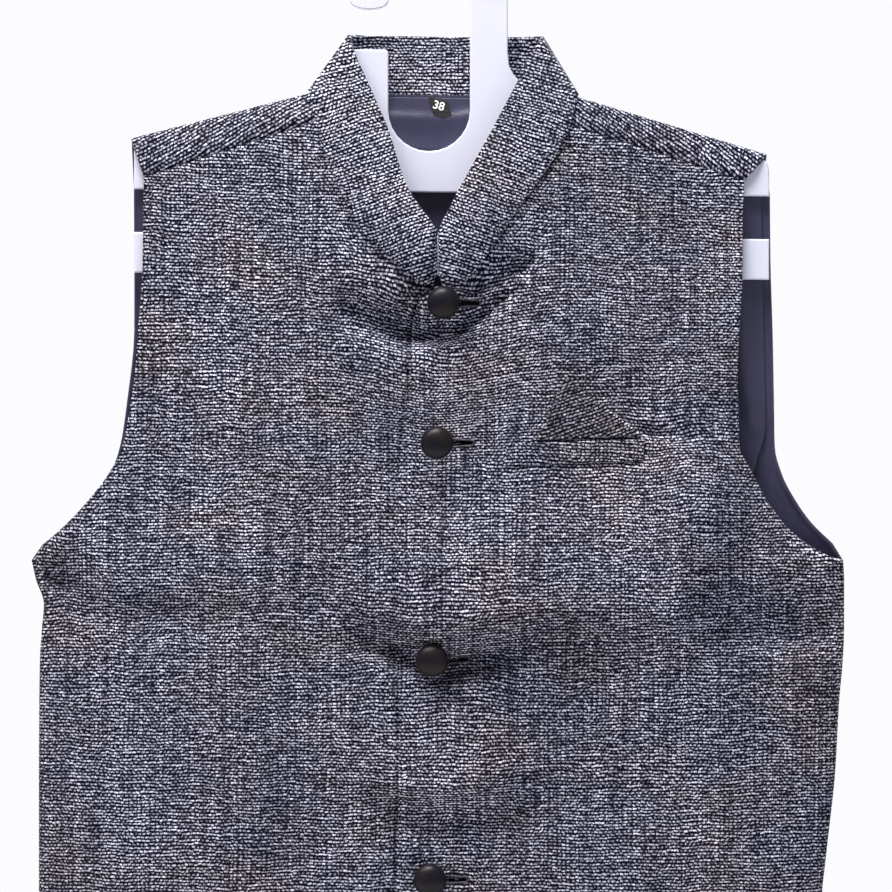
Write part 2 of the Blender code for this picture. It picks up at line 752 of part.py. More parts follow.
def size_label(finish, collection):
    """A tape tab hanging from the collar seam, inside the back of the neck."""
    columns, rows = 2, 4

    def place(i, j):
        across = (i / columns - 0.5) * LABEL["width"]
        down = j / rows * LABEL["height"]
        lean = LABEL["lean"]
        x = LABEL["x"] + across + lean * down
        z = LABEL["z"] - down - lean * across
        lining = NECK_Y - LINING_INSET - LINING_WALL
        return Vector((x, lining - GAP, z))

    bm = grid_sheet(columns, rows, place, (5.0, 4.0, -100.0))
    return thicken(mesh_object("size_label", bm, finish, collection), LABEL_WALL)


# ------------------------------------------------------------------- the hanger
def arc(centre, radii, start, end, steps):
    """Points of an ellipse's arc, angles in degrees from +X."""
    points = []
    for k in range(steps + 1):
        angle = math.radians(mix(start, end, k / steps))
        points.append((centre[0] + radii[0] * math.cos(angle), centre[1] + radii[1] * math.sin(angle)))
    return points


def tilted(x, z):
    return (x, z - PLATE_TILT * x)


def shoulder_edge(side):
    """The hanger's upper edge under one shoulder, from the neck outwards."""
    spec = SHOULDERS[side]
    sign = 1.0 if side == "left" else -1.0
    end = END_LEFT if side == "left" else END_RIGHT
    slope = (spec["tip"][1] - spec["neck"][1]) / (spec["tip"][0] - spec["neck"][0])

    def edge_z(x):
        return spec["neck"][1] + slope * (x - spec["neck"][0]) - PLATE_DROP

    inner = spec["neck"][0] - sign * 12.0
    flare = []
    for k in range(1, 7):
        t = k / 6
        x = mix(sign * HOOK_OUTER, inner, t * t)
        z = mix(NECK_Z, spec["neck"][1] - PLATE_DROP - 0.8, 1.0 - (1.0 - t) ** 1.2)
        flare.append((x, z))
    corner = [(end - sign * back, edge_z(end - sign * back) - down) for back, down in END_CORNER]
    outer = spec["neck"][0] + sign * 4.0
    return flare + [(outer, edge_z(outer))] + corner


def hanger_outline():
    """Outline of the plate with its hook, bar and the open ends of its slots."""
    top_z = -HOOK_INNER
    seat = arc((0.0, top_z), (HOOK_INNER, HOOK_INNER), 0.0, 180.0, 14)
    crest = arc((0.0, top_z), (HOOK_OUTER, HOOK_INNER + HOOK_TOP), 180.0, 0.0, 18)
    foot = arc((0.0, SLOT_FOOT_Z), (HOOK_INNER, HOOK_INNER), 180.0, 360.0, 14)
    points = [(-HOOK_INNER, PRONG_Z - 1.5)]
    points += foot
    points += seat
    points += [(-HOOK_INNER, HOOK_TIP_Z + 3.0)]
    middle = -(HOOK_INNER + HOOK_OUTER) / 2
    half = (HOOK_OUTER - HOOK_INNER) / 2
    points += arc((middle, HOOK_TIP_Z + 3.0), (half, 5.0), 0.0, -180.0, 8)[1:]
    points += crest
    points += [(HOOK_OUTER, NECK_Z + 4.0)]
    points += shoulder_edge("left")
    points += [tilted(END_LEFT, PLATE_LOW_Z), tilted(WEB_X[1] + WEB_WIDTH / 2, PLATE_LOW_Z),
               tilted(WEB_X[1] + WEB_WIDTH / 2, BAR_TOP_Z), tilted(END_LEFT, BAR_TOP_Z),
               tilted(END_LEFT, BAR_LOW_Z), tilted(END_RIGHT, BAR_LOW_Z),
               tilted(END_RIGHT, BAR_TOP_Z), tilted(WEB_X[0] - WEB_WIDTH / 2, BAR_TOP_Z),
               tilted(WEB_X[0] - WEB_WIDTH / 2, PLATE_LOW_Z), tilted(END_RIGHT, PLATE_LOW_Z)]
    points += shoulder_edge("right")[::-1]
    points += [(-HOOK_OUTER + 0.8, PRONG_Z - 1.5), (-HOOK_OUTER + 2.2, PRONG_Z), (-HOOK_INNER - 1.5, PRONG_Z)]
    return points


def hanger(finish, collection):
    """A flat plate cut to shape, its edges rounded."""
    curve = bpy.data.curves.new("hanger_outline", "CURVE")
    curve.dimensions = "2D"
    curve.fill_mode = "BOTH"
    curve.extrude = (PLATE / 2 - PLATE_EDGE) * MM
    curve.bevel_depth = PLATE_EDGE * MM
    curve.bevel_resolution = 1
    curve.offset = -PLATE_EDGE * MM
    slot = [tilted(WEB_X[0] + WEB_WIDTH / 2, PLATE_LOW_Z), tilted(WEB_X[1] - WEB_WIDTH / 2, PLATE_LOW_Z),
            tilted(WEB_X[1] - WEB_WIDTH / 2, BAR_TOP_Z), tilted(WEB_X[0] + WEB_WIDTH / 2, BAR_TOP_Z)]
    for outline in (hanger_outline(), slot):
        spline = curve.splines.new("POLY")
        spline.points.add(len(outline) - 1)
        for point, (x, z) in zip(spline.points, outline):
            point.co = (x * MM, z * MM, 0.0, 1.0)
        spline.use_cyclic_u = True
    obj = add_object("hanger", curve, finish, collection)
    obj.rotation_euler = (math.pi / 2, 0.0, 0.0)
    return obj


# ---------------------------------------------------------------- the whole part
def main():
    clear_scene()
    parts = bpy.data.collections.new("band_collar_jacket")
    cutters = bpy.data.collections.new("cutters")
    bpy.context.scene.collection.children.link(parts)
    bpy.context.scene.collection.children.link(cutters)

    tweed = material("tweed", (0.13, 0.13, 0.16), 0.9)
    satin = material("satin", (0.05, 0.045, 0.09), 0.45)
    resin = material("button_resin", (0.012, 0.010, 0.014), 0.15)
    plastic = material("hanger_plastic", (0.82, 0.83, 0.92), 0.4)
    tape = material("label_tape", (0.02, 0.02, 0.03), 0.8)

    front("right", tweed, parts)
    lapped = front("left", tweed, parts)
    holes = lapped.modifiers.new("buttonholes", "BOOLEAN")
    holes.operation = "DIFFERENCE"
    holes.object = buttonhole_cutter(cutters)
    back(tweed, parts)
    back_lining(satin, parts)
    collar(tweed, parts)
    for number, spot in enumerate(BUTTONS, 1):
        button(number, spot, resin, parts)
    patch("pocket_welt", WELT, 9, 2, GAP, POCKET_WALL, tweed, parts)
    pocket_point(tweed, parts)
    size_label(tape, parts)
    hanger(plastic, parts)


main()
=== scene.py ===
import math

import bmesh
import bpy
import numpy as np
from mathutils import Matrix, Vector


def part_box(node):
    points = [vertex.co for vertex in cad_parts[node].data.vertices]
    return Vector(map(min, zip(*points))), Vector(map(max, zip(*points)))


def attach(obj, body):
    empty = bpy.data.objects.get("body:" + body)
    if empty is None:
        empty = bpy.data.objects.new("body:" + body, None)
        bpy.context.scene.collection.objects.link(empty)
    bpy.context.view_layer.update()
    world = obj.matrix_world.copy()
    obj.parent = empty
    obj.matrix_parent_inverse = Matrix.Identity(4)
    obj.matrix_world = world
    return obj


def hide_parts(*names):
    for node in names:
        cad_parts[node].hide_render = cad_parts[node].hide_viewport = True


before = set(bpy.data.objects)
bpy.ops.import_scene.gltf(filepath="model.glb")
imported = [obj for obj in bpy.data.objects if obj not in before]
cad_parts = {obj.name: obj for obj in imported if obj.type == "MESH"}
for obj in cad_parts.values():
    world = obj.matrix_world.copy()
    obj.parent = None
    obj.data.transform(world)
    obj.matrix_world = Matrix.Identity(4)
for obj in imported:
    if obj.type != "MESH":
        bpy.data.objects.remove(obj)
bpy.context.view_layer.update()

mm = 0.001


# ---- small helpers

def hexColour(code):
    # sRGB hex to the linear numbers that Blender works in
    parts = [int(code[i:i + 2], 16) / 255 for i in (1, 3, 5)]
    linear = [c / 12.92 if c <= 0.04045 else ((c + 0.055) / 1.055) ** 2.4 for c in parts]
    return (*linear, 1.0)


def addNode(tree, kind, into=(), **settings):
    # into holds what goes in each input: a number, a colour, a node or one of its outputs
    node = tree.nodes.new("ShaderNode" + kind)
    for key, value in settings.items():
        setattr(node, key, value)
    for key, value in (into.items() if isinstance(into, dict) else enumerate(into)):
        if isinstance(value, bpy.types.Node):
            value = value.outputs[0]
        if isinstance(value, bpy.types.NodeSocket):
            tree.links.new(value, node.inputs[key])
        else:
            node.inputs[key].default_value = value
    return node


def newMaterial(name, surface):
    # surface holds what is the same all over
    made = bpy.data.materials.new(name)
    made.use_nodes = True
    tree = made.node_tree
    tree.nodes.clear()
    shader = addNode(tree, "BsdfPrincipled", surface)
    addNode(tree, "OutputMaterial", [shader])
    return made, tree, shader


def newObject(name, data):
    made = bpy.data.objects.new(name, data)
    bpy.context.scene.collection.objects.link(made)
    return made


def newMesh(name, bm):
    mesh = bpy.data.meshes.new(name)
    bm.to_mesh(mesh)
    bm.free()
    return mesh


def meshOf(made):
    # with all that its modifiers do
    return bpy.data.meshes.new_from_object(made.evaluated_get(bpy.context.evaluated_depsgraph_get()))


def mix(a, b, t):
    return a + (b - a) * t


def ease(start, end, value):
    # 0 at start, 1 at end, level at both
    t = np.clip((np.asarray(value, float) - start) / (end - start), 0, 1)
    return t * t * (3 - 2 * t)


def spun(x, z, angle):
    return x * math.cos(angle) - z * math.sin(angle), x * math.sin(angle) + z * math.cos(angle)


def curveThrough(knots, values, at):
    # smooth, and never past the values it goes through
    knots = np.asarray(knots, float)
    values = np.asarray(values, float)
    at = np.clip(np.asarray(at, float), knots[0], knots[-1])
    i = np.clip(np.searchsorted(knots, at, side="right") - 1, 0, len(knots) - 2)
    step = np.diff(knots)
    rise = np.diff(values) / step
    slope = np.zeros(len(knots))
    slope[0], slope[-1] = rise[0], rise[-1]
    for k in range(1, len(knots) - 1):
        if rise[k - 1] * rise[k] > 0:
            slope[k] = 2 * rise[k - 1] * rise[k] / (rise[k - 1] + rise[k])
    t = (at - knots[i]) / step[i]
    return (values[i] * (1 + 2 * t) * (1 - t) ** 2 + values[i + 1] * t * t * (3 - 2 * t)
            + step[i] * (slope[i] * t * (1 - t) ** 2 - slope[i + 1] * t * t * (1 - t)))


def column(table, which, at, falling=False):
    # one column of a table, read at the values of its first
    sign = -1.0 if falling else 1.0
    return curveThrough([sign * row[0] for row in table], [row[which] for row in table],
                        sign * np.asarray(at, float))


# ---- the studio: camera, soft lights, pale floor

studio = {
    "viewCentre": (10.6, -313.8),   # x and z that the camera looks at, mm
    "viewWidth": 557.5,             # mm across the view
    "viewDepth": -12.0,             # depth at which that width holds, mm
    "distance": 2600.0,             # camera to that depth, mm
    "sensor": 36.0,                 # mm
    "floorZ": -1.02,                # m
    "floorRadius": 1.7,             # m
    "floorPaint": ("#f1f1f4", "#f7f7f9"),
    "backdrop": "#fcfcff",
    "air": "#f4f5ff",
    "ambient": 0.25,
    "aim": (0.0, 0.0, -0.38),       # what the lights point at, m
    "lights": {
        "key": {"place": (-1.03, -0.78, 1.64), "size": 1.0, "watts": 48, "colour": "#fff6ee"},
        "fill": {"place": (1.5, -2.2, 0.1), "size": 1.8, "watts": 3, "colour": "#eef2ff"},
        "top": {"place": (-0.2, -0.75, 1.95), "size": 0.9, "watts": 92, "colour": "#ffffff"},
        "rearKey": {"place": (0.75, 1.25, 1.5), "size": 1.0, "watts": 50, "colour": "#f7f8ff"},
        "rearFill": {"place": (-1.8, 1.8, -0.1), "size": 1.8, "watts": 12, "colour": "#eef2ff"},
    },
}


def buildStudio(s):
    view = bpy.data.cameras.new("viewCamera")
    view.sensor_width = s["sensor"]
    view.lens = s["sensor"] * s["distance"] / s["viewWidth"]
    camera = newObject("viewCamera", view)
    x, z = s["viewCentre"]
    camera.location = (x * mm, (s["viewDepth"] - s["distance"]) * mm, z * mm)
    camera.rotation_euler = (math.pi / 2, 0, 0)
    bpy.context.scene.camera = camera

    for name, spec in s["lights"].items():
        lamp = bpy.data.lights.new(name, "AREA")
        lamp.shape = "SQUARE"
        lamp.size = spec["size"]
        lamp.energy = spec["watts"]
        lamp.color = hexColour(spec["colour"])[:3]
        light = newObject(name, lamp)
        light.location = spec["place"]
        light.rotation_mode = "QUATERNION"
        light.rotation_quaternion = (Vector(s["aim"]) - light.location).to_track_quat("-Z", "Y")
        light.visible_camera = False

    world = bpy.data.worlds.new("studioAir")
    world.use_nodes = True
    tree = world.node_tree
    tree.nodes.clear()
    seen = addNode(tree, "Background", [hexColour(s["backdrop"]), 1.0])
    felt = addNode(tree, "Background", [hexColour(s["air"]), s["ambient"]])
    both = addNode(tree, "MixShader", [addNode(tree, "LightPath").outputs["Is Camera Ray"], felt, seen])
    addNode(tree, "OutputWorld", [both])
    bpy.context.scene.world = world
    bpy.context.scene.view_settings.view_transform = "Standard"

    bm = bmesh.new()
    bmesh.ops.create_circle(bm, cap_ends=True, segments=96, radius=s["floorRadius"])
    bmesh.ops.translate(bm, verts=bm.verts[:], vec=(0, 0, s["floorZ"]))
    floor = newObject("studioFloor", newMesh("studioFloor", bm))
    # painted plywood: flat, a little uneven
    paint, tree, shader = newMaterial("mattPaint", {"Roughness": 0.9})
    grain = addNode(tree, "TexNoise", {"Vector": addNode(tree, "TexCoord").outputs["Object"], "Scale": 6.0})
    low, high = (hexColour(code) for code in s["floorPaint"])
    tone = addNode(tree, "Mix", {0: grain, 6: low, 7: high}, data_type="RGBA")
    tree.links.new(tone.outputs[2], shader.inputs["Base Color"])
    floor.data.materials.append(paint)


buildStudio(studio)
print("stage: studio ready")


# ---- materials

# Slubbed tabby suiting of black and off-white spun yarn: dots where a light pick
# passes over a dark end, short dashes where the pick is thick, matt with a little fuzz.
suiting = {
    "pickPitch": 2.03,              # mm from pick to pick
    "dotPitch": 2.75,               # mm from float to float along a pick
    "drift": 1.8,                   # mm that the threads wander together
    "endDrift": 1.2,                # mm that the ends stand off an even spacing
    "pickDrift": 0.8,               # mm that single stretches of a pick ride up or down
    # each kind of unevenness: waves per mm along picks and ends, detail, roughness
    "noises": {
        "wander": (0.022, 0.022, 2.0, 0.5),
        "ends": (0.2, 0.006, 1.0, 0.5),
        "picks": (0.045, 0.05, 1.0, 0.5),
        "order": (0.03, 0.05, 1.0, 0.5),
        "shuttle": (0.05, 0.12, 1.0, 0.5),
        "lean": (0.05, 0.09, 2.0, 0.5),
        "fibres": (0.9, 0.9, 1.0, 0.5),
        "blotch": (0.028, 0.06, 4.0, 0.65),
        "band": (0.02, 0.003, 1.0, 0.5),
        "streak": (0.45, 0.012, 2.0, 0.5),
        "tint": (0.014, 0.02, 3.0, 0.5),
    },
    "orderRange": (0.3, 0.6), "order": (0.22, 0.5),         # shift of every second pick's floats
    "slubRate": 0.09, "slubStep": 2.37, "slubRange": (0.36, 0.66),
    "shuttleShare": 0.62, "shuttlePull": 2.5,               # how much the two shuttles differ
    "strokeLong": (0.17, 0.14, 0.15),                       # half a float: least, by chance, where thick
    "strokeWide": (0.195, 0.1),
    "sway": 0.3, "lean": 0.5, "stray": 1.5,
    "joined": (0.0, 0.28),                                  # how far neighbours run together, thin and thick
    "edge": (0.15, 1.5),                                    # how soft a float's edge is
    "base": 0.51, "slubShare": 0.16, "chanceShare": 0.38,   # how light a float is, and what adds to it
    "shares": {"blotch": 0.1, "band": 0.24, "streak": 0.75},
    "contrast": 1.9,
    "tintRange": (0.32, 0.68),
    "dark": ("#07091b", "#140b13"), "pale": ("#e3e5fc", "#f0e9f6"),         # cool and warm
    "leastLight": 0.005,
    "relief": 0.16, "strength": 0.02,                       # mm, and little of it, to keep the folds clear
    "surface": {"Roughness": 0.9, "Specular IOR Level": 0.06, "Sheen Weight": 0.015, "Sheen Roughness": 0.5},
}


def suitingMaterial(name, s, warmth=0.25, depth=1.0, lift=0.0):
    # warmth turns the tint browner; depth darkens the whole copy as painted shade; lift lightens its floats
    # as painted light
    made, tree, shader = newMaterial(name, s["surface"])
    grain = addNode(tree, "UVMap", uv_map="clothGrain")
    noise = {}
    for key, (alongPicks, alongEnds, detail, roughness) in s["noises"].items():
        spread = addNode(tree, "VectorMath", [grain, (alongPicks, alongEnds, 0)], operation="MULTIPLY")
        noise[key] = addNode(tree, "TexNoise", {"Vector": spread, "Scale": 1.0, "Detail": detail,
                                                "Roughness": roughness}, noise_dimensions="2D")

    # the threads wander, ends of uneven thickness push their neighbours aside all the way
    # down the cloth, and the picks lie a little wavy
    drift = addNode(tree, "VectorMath", [noise["wander"].outputs["Color"], (0.5, 0.5, 0.5)],
                    operation="SUBTRACT")
    drift = addNode(tree, "VectorMath", [drift, (s["drift"] * 2, s["drift"] * 2, 0)], operation="MULTIPLY")
    aside = addNode(tree, "Math", [noise["ends"], s["endDrift"] * 2, -s["endDrift"]],
                    operation="MULTIPLY_ADD")
    rides = addNode(tree, "Math", [noise["picks"], s["pickDrift"] * 2, -s["pickDrift"]],
                    operation="MULTIPLY_ADD")
    place = addNode(tree, "VectorMath", [grain, drift], operation="ADD")
    place = addNode(tree, "VectorMath", [place, addNode(tree, "CombineXYZ", [aside, rides, 0.0])],
                    operation="ADD")
    flat = addNode(tree, "SeparateXYZ", [place])

    # which pick and which float, and how far from the middle of each
    picks = addNode(tree, "Math", [flat.outputs["Y"], s["pickPitch"]], operation="DIVIDE")
    pick = addNode(tree, "Math", [picks], operation="FLOOR")
    odd = addNode(tree, "Math", [pick, 2.0], operation="FLOORED_MODULO")
    # the floats of neighbouring picks stand in brick order here, nearly in line there
    order = addNode(tree, "MapRange", [noise["order"], *s["orderRange"], *s["order"]])
    dots = addNode(tree, "Math", [flat.outputs["X"], s["dotPitch"]], operation="DIVIDE")
    dots = addNode(tree, "Math", [odd, order, dots], operation="MULTIPLY_ADD")
    dot = addNode(tree, "Math", [dots], operation="FLOOR")
    acrossPick, alongDot = (addNode(tree, "Math", [addNode(tree, "Math", [whole], operation="FRACT"), 0.5],
                                    operation="SUBTRACT") for whole in (picks, dots))
    chance = addNode(tree, "TexWhiteNoise", {"Vector": addNode(tree, "CombineXYZ", [dot, pick, 0.0])},
                     noise_dimensions="2D")
    chances = addNode(tree, "SeparateColor", [chance.outputs["Color"]])

    # thick and thin places of each pick, long along it and new for the next one
    pickPlace = addNode(tree, "CombineXYZ", [
        addNode(tree, "Math", [flat.outputs["X"], s["slubRate"]], operation="MULTIPLY"),
        addNode(tree, "Math", [pick, s["slubStep"]], operation="MULTIPLY"), 0.0])
    slubNoise = addNode(tree, "TexNoise", {"Vector": pickPlace, "Scale": 1.0, "Detail": 2.0},
                        noise_dimensions="2D")
    single = addNode(tree, "MapRange", [slubNoise, *s["slubRange"], 0.0, 1.0])
    # two shuttles: here the even picks are the thicker ones, there the odd
    signed = addNode(tree, "Math", [odd, s["shuttlePull"] * 2, -s["shuttlePull"]], operation="MULTIPLY_ADD")
    uneven = addNode(tree, "Math", [noise["shuttle"], 0.5], operation="SUBTRACT")
    shuttle = addNode(tree, "Math", [uneven, signed, 0.5], operation="MULTIPLY_ADD", use_clamp=True)
    slub = addNode(tree, "Mix", {0: s["shuttleShare"], 2: single, 3: shuttle})

    # each float is a short stroke, longer and less broken where its pick is thick
    least, byChance, whereThick = s["strokeLong"]
    halfLong = addNode(tree, "Math", [chances.outputs["Red"], byChance, least], operation="MULTIPLY_ADD")
    halfLong = addNode(tree, "Math", [slub, whereThick, halfLong], operation="MULTIPLY_ADD")
    halfWide = addNode(tree, "Math", [chances.outputs["Green"], s["strokeWide"][1], s["strokeWide"][0]],
                       operation="MULTIPLY_ADD")
    sway = addNode(tree, "Math", [acrossPick, s["sway"] / 2], operation="SUBTRACT")
    sway = addNode(tree, "Math", [chances.outputs["Blue"], s["sway"], sway], operation="MULTIPLY_ADD")
    # the twist of the yarn leans the floats, this way or that
    lean = addNode(tree, "Math", [noise["lean"], s["lean"] * 2, -s["lean"]], operation="MULTIPLY_ADD")
    sway = addNode(tree, "Math", [alongDot, lean, sway], operation="MULTIPLY_ADD")
    # stray fibres break up each float's edge
    stray = addNode(tree, "Math", [noise["fibres"], -s["stray"] * 2, s["stray"]], operation="MULTIPLY_ADD")
    joined = addNode(tree, "Math", [slub, s["joined"][1], s["joined"][0]], operation="MULTIPLY_ADD")
    reach = []
    for off, half, left in ((alongDot, halfLong, joined), (sway, halfWide, 0.0)):
        share = addNode(tree, "Math", [off, half], operation="DIVIDE")
        rough = addNode(tree, "Math", [share, share, stray], operation="MULTIPLY_ADD")
        reach.append(addNode(tree, "MapRange", [rough, *s["edge"], 1.0, left],
                             interpolation_type="SMOOTHSTEP"))
    over = addNode(tree, "Math", reach, operation="MULTIPLY")

    # how light this float is: its thickness, chance, and where dark or light yarn gathers; lift adds painted
    # light all over a copy
    light = addNode(tree, "Math", [slub, s["slubShare"], s["base"] - s["slubShare"] / 2 + lift],
                    operation="MULTIPLY_ADD")
    light = addNode(tree, "Math", [chance, s["chanceShare"], light], operation="MULTIPLY_ADD")
    for key, share in s["shares"].items():
        uneven = addNode(tree, "Math", [noise[key], 0.5], operation="SUBTRACT")
        light = addNode(tree, "Math", [uneven, share, light], operation="MULTIPLY_ADD")
    light.use_clamp = True
    light = addNode(tree, "Math", [light, s["contrast"]], operation="POWER")
    light = addNode(tree, "Math", [light, 1 - s["leastLight"], s["leastLight"]], operation="MULTIPLY_ADD")
    shown = addNode(tree, "Math", [over, light], operation="MULTIPLY")

    # both yarns are bluish here and brownish there
    tint = addNode(tree, "MapRange", [noise["tint"], *s["tintRange"], warmth - 0.5, warmth + 0.5])
    dark, pale = (addNode(tree, "Mix", {0: tint, 6: hexColour(cool), 7: hexColour(warm)}, data_type="RGBA")
                  for cool, warm in (s["dark"], s["pale"]))
    cloth = addNode(tree, "Mix", {0: shown, 6: dark.outputs[2], 7: pale.outputs[2]}, data_type="RGBA")
    # depth multiplies the colour down all over: painted shade
    paintedShade = addNode(tree, "Mix", {0: 1.0, 6: cloth.outputs[2], 7: (depth, depth, depth, 1.0)},
                   data_type="RGBA", blend_type="MULTIPLY")
    tree.links.new(paintedShade.outputs[2], shader.inputs["Base Color"])

    bump = addNode(tree, "Bump", {"Height": over, "Distance": s["relief"] * mm, "Strength": s["strength"]})
    tree.links.new(bump.outputs[0], shader.inputs["Normal"])
    return made


# Filament satin lining: dark aubergine, smooth, with a soft broad shine across the body.
satin = {
    "colour": "#3d3b56", "shade": "#262540",
    "fold": 34.0,                   # mm from shade to shade
    "yarn": 0.35,                   # mm, coarser than real yarn, which the render cannot show
    "yarnShare": 0.06,              # how much of the relief is yarn, the rest is puckers
    "relief": 2.2,                  # mm
    "shine": (0.3, 0.7, 0.34, 0.46),
    "surface": {"Sheen Weight": 0.2, "Sheen Roughness": 0.35},
}


def satinMaterial(name, s):
    made, tree, shader = newMaterial(name, s["surface"])
    grain = addNode(tree, "UVMap", uv_map="clothGrain")
    soft = addNode(tree, "VectorMath", [grain, (1 / s["fold"], 0.6 / s["fold"], 0)], operation="MULTIPLY")
    tone = addNode(tree, "TexNoise", {"Vector": soft, "Scale": 1.0, "Detail": 3.0}, noise_dimensions="2D")
    colour = addNode(tree, "Mix", {0: tone, 6: hexColour(s["shade"]), 7: hexColour(s["colour"])},
                     data_type="RGBA")
    tree.links.new(colour.outputs[2], shader.inputs["Base Color"])
    fine = addNode(tree, "VectorMath", [grain, (0.1 / s["yarn"], 1 / s["yarn"], 0)], operation="MULTIPLY")
    yarns = addNode(tree, "TexNoise", {"Vector": fine, "Scale": 1.0, "Detail": 1.0}, noise_dimensions="2D")
    puckers = addNode(tree, "Math", [yarns, s["yarnShare"], tone], operation="MULTIPLY_ADD")
    bump = addNode(tree, "Bump", {"Height": puckers, "Distance": s["relief"] * mm, "Strength": 0.8})
    tree.links.new(bump.outputs[0], shader.inputs["Normal"])
    rough = addNode(tree, "MapRange", [yarns, *s["shine"]])
    tree.links.new(rough.outputs[0], shader.inputs["Roughness"])
    return made


# Cast polyester buttons: near black, tumbled to a dull sheen; brownish patches at random places stand in for
# reflection, a painted reflection.
resin = {"colour": "#13131c", "paintedReflection": "#211a18", "paintedReflectionSize": 13.0, "paintedReflectionRange": (0.4, 0.7),
         "scuffs": 900.0, "shine": (0.35, 0.7, 0.3, 0.44),
         "surface": {"IOR": 1.45, "Specular IOR Level": 0.16}}


def resinMaterial(name, s):
    made, tree, shader = newMaterial(name, s["surface"])
    spot = addNode(tree, "TexCoord").outputs["Object"]
    # where the brownish patches of painted reflection lie
    paintedReflection = addNode(tree, "TexNoise", {"Vector": spot, "Scale": 1000 / s["paintedReflectionSize"], "Detail": 2.0})
    colour = addNode(tree, "Mix", {0: addNode(tree, "MapRange", [paintedReflection, *s["paintedReflectionRange"], 0.0, 1.0]),
                                   6: hexColour(s["colour"]), 7: hexColour(s["paintedReflection"])}, data_type="RGBA")
    tree.links.new(colour.outputs[2], shader.inputs["Base Color"])
    scuff = addNode(tree, "TexNoise", {"Vector": spot, "Scale": s["scuffs"], "Detail": 2.0})
    rough = addNode(tree, "MapRange", [scuff, *s["shine"]])
    tree.links.new(rough.outputs[0], shader.inputs["Roughness"])
    return made


# High-impact polystyrene sheet: white with a cold cast, smooth, its skin a little uneven.
sheetPlastic = {"colour": "#cfd1e1", "shade": "#c9cbdd", "mottle": 60.0, "shine": (0.3, 0.7, 0.36, 0.46),
                "orangePeel": 420.0, "relief": 0.03, "surface": {"IOR": 1.59}}


def plasticMaterial(name, s):
    made, tree, shader = newMaterial(name, s["surface"])
    spot = addNode(tree, "TexCoord").outputs["Object"]
    mottle = addNode(tree, "TexNoise", {"Vector": spot, "Scale": 1000 / s["mottle"], "Detail": 4.0})
    colour = addNode(tree, "Mix", {0: mottle, 6: hexColour(s["shade"]), 7: hexColour(s["colour"])},
                     data_type="RGBA")
    tree.links.new(colour.outputs[2], shader.inputs["Base Color"])
    peel = addNode(tree, "TexNoise", {"Vector": spot, "Scale": s["orangePeel"], "Detail": 2.0})
    bump = addNode(tree, "Bump", {"Height": peel, "Distance": s["relief"] * mm, "Strength": 0.2})
    tree.links.new(bump.outputs[0], shader.inputs["Normal"])
    rough = addNode(tree, "MapRange", [mottle, *s["shine"]])
    tree.links.new(rough.outputs[0], shader.inputs["Roughness"])
    return made


# Black polyester label tape with a fine rib across it, the white yarn of its figures, and
# mercerised sewing cotton, near black, with its twist. The pitch is in mm for each radian.
tape = {"colour": "#08080c", "shine": "#55555f", "share": 0.08, "pitch": 0.45, "bands": "Z", "uneven": 0.6,
        "relief": 0.08, "strength": 0.6, "surface": {"Roughness": 0.8, "Sheen Weight": 0.1}}
figureYarn = {**tape, "colour": "#f2f2f4"}
thread = {"colour": "#14131c", "shine": "#3a3846", "share": 1.0, "pitch": 0.6, "bands": "DIAGONAL",
          "uneven": 1.0, "relief": 0.15, "strength": 0.8, "surface": {"Roughness": 0.6}}


def ribbedMaterial(name, s):
    made, tree, shader = newMaterial(name, s["surface"])
    spot = addNode(tree, "TexCoord").outputs["Object"]
    # the wave texture goes through 20 radians in one unit
    into = {"Vector": spot, "Scale": 1000 / s["pitch"] / 20, "Distortion": s["uneven"]}
    ribs = addNode(tree, "TexWave", into, bands_direction=s["bands"]).outputs["Fac"]
    share = addNode(tree, "Math", [ribs, s["share"]], operation="MULTIPLY")
    colour = addNode(tree, "Mix", {0: share, 6: hexColour(s["colour"]), 7: hexColour(s["shine"])},
                     data_type="RGBA")
    tree.links.new(colour.outputs[2], shader.inputs["Base Color"])
    bump = addNode(tree, "Bump", {"Height": ribs, "Distance": s["relief"] * mm, "Strength": s["strength"]})
    tree.links.new(bump.outputs[0], shader.inputs["Normal"])
    return made


tweedCloth = suitingMaterial("slubTweed", suiting)
# the pocket point: a browner tint of its own, and darker all over, which is painted shade
tweedPocketPaintedShade = suitingMaterial("slubTweedPocketPaintedShade", suiting, warmth=0.8, depth=0.62)
# the collar: its floats a little lighter all over, painted light where it faces up to the lamps
tweedCollarPaintedLight = suitingMaterial("slubTweedCollarPaintedLight", suiting, lift=0.12)
# the pocket point's rolled edge: its floats far lighter, a painted highlight along the fold
tweedFoldPaintedHighlight = suitingMaterial("slubTweedFoldPaintedHighlight", suiting, lift=0.85)
satinCloth = satinMaterial("filamentSatin", satin)
buttonResin = resinMaterial("castPolyester", resin)
hangerPlastic = plasticMaterial("polystyreneSheet", sheetPlastic)
labelTape = ribbedMaterial("wovenTape", tape)
labelFigure = ribbedMaterial("figureYarn", figureYarn)
sewingCotton = ribbedMaterial("sewingCotton", thread)
print("stage: materials ready")


# ---- the jacket's form, in mm: x to the wearer's left, z up from the hook, front towards -y

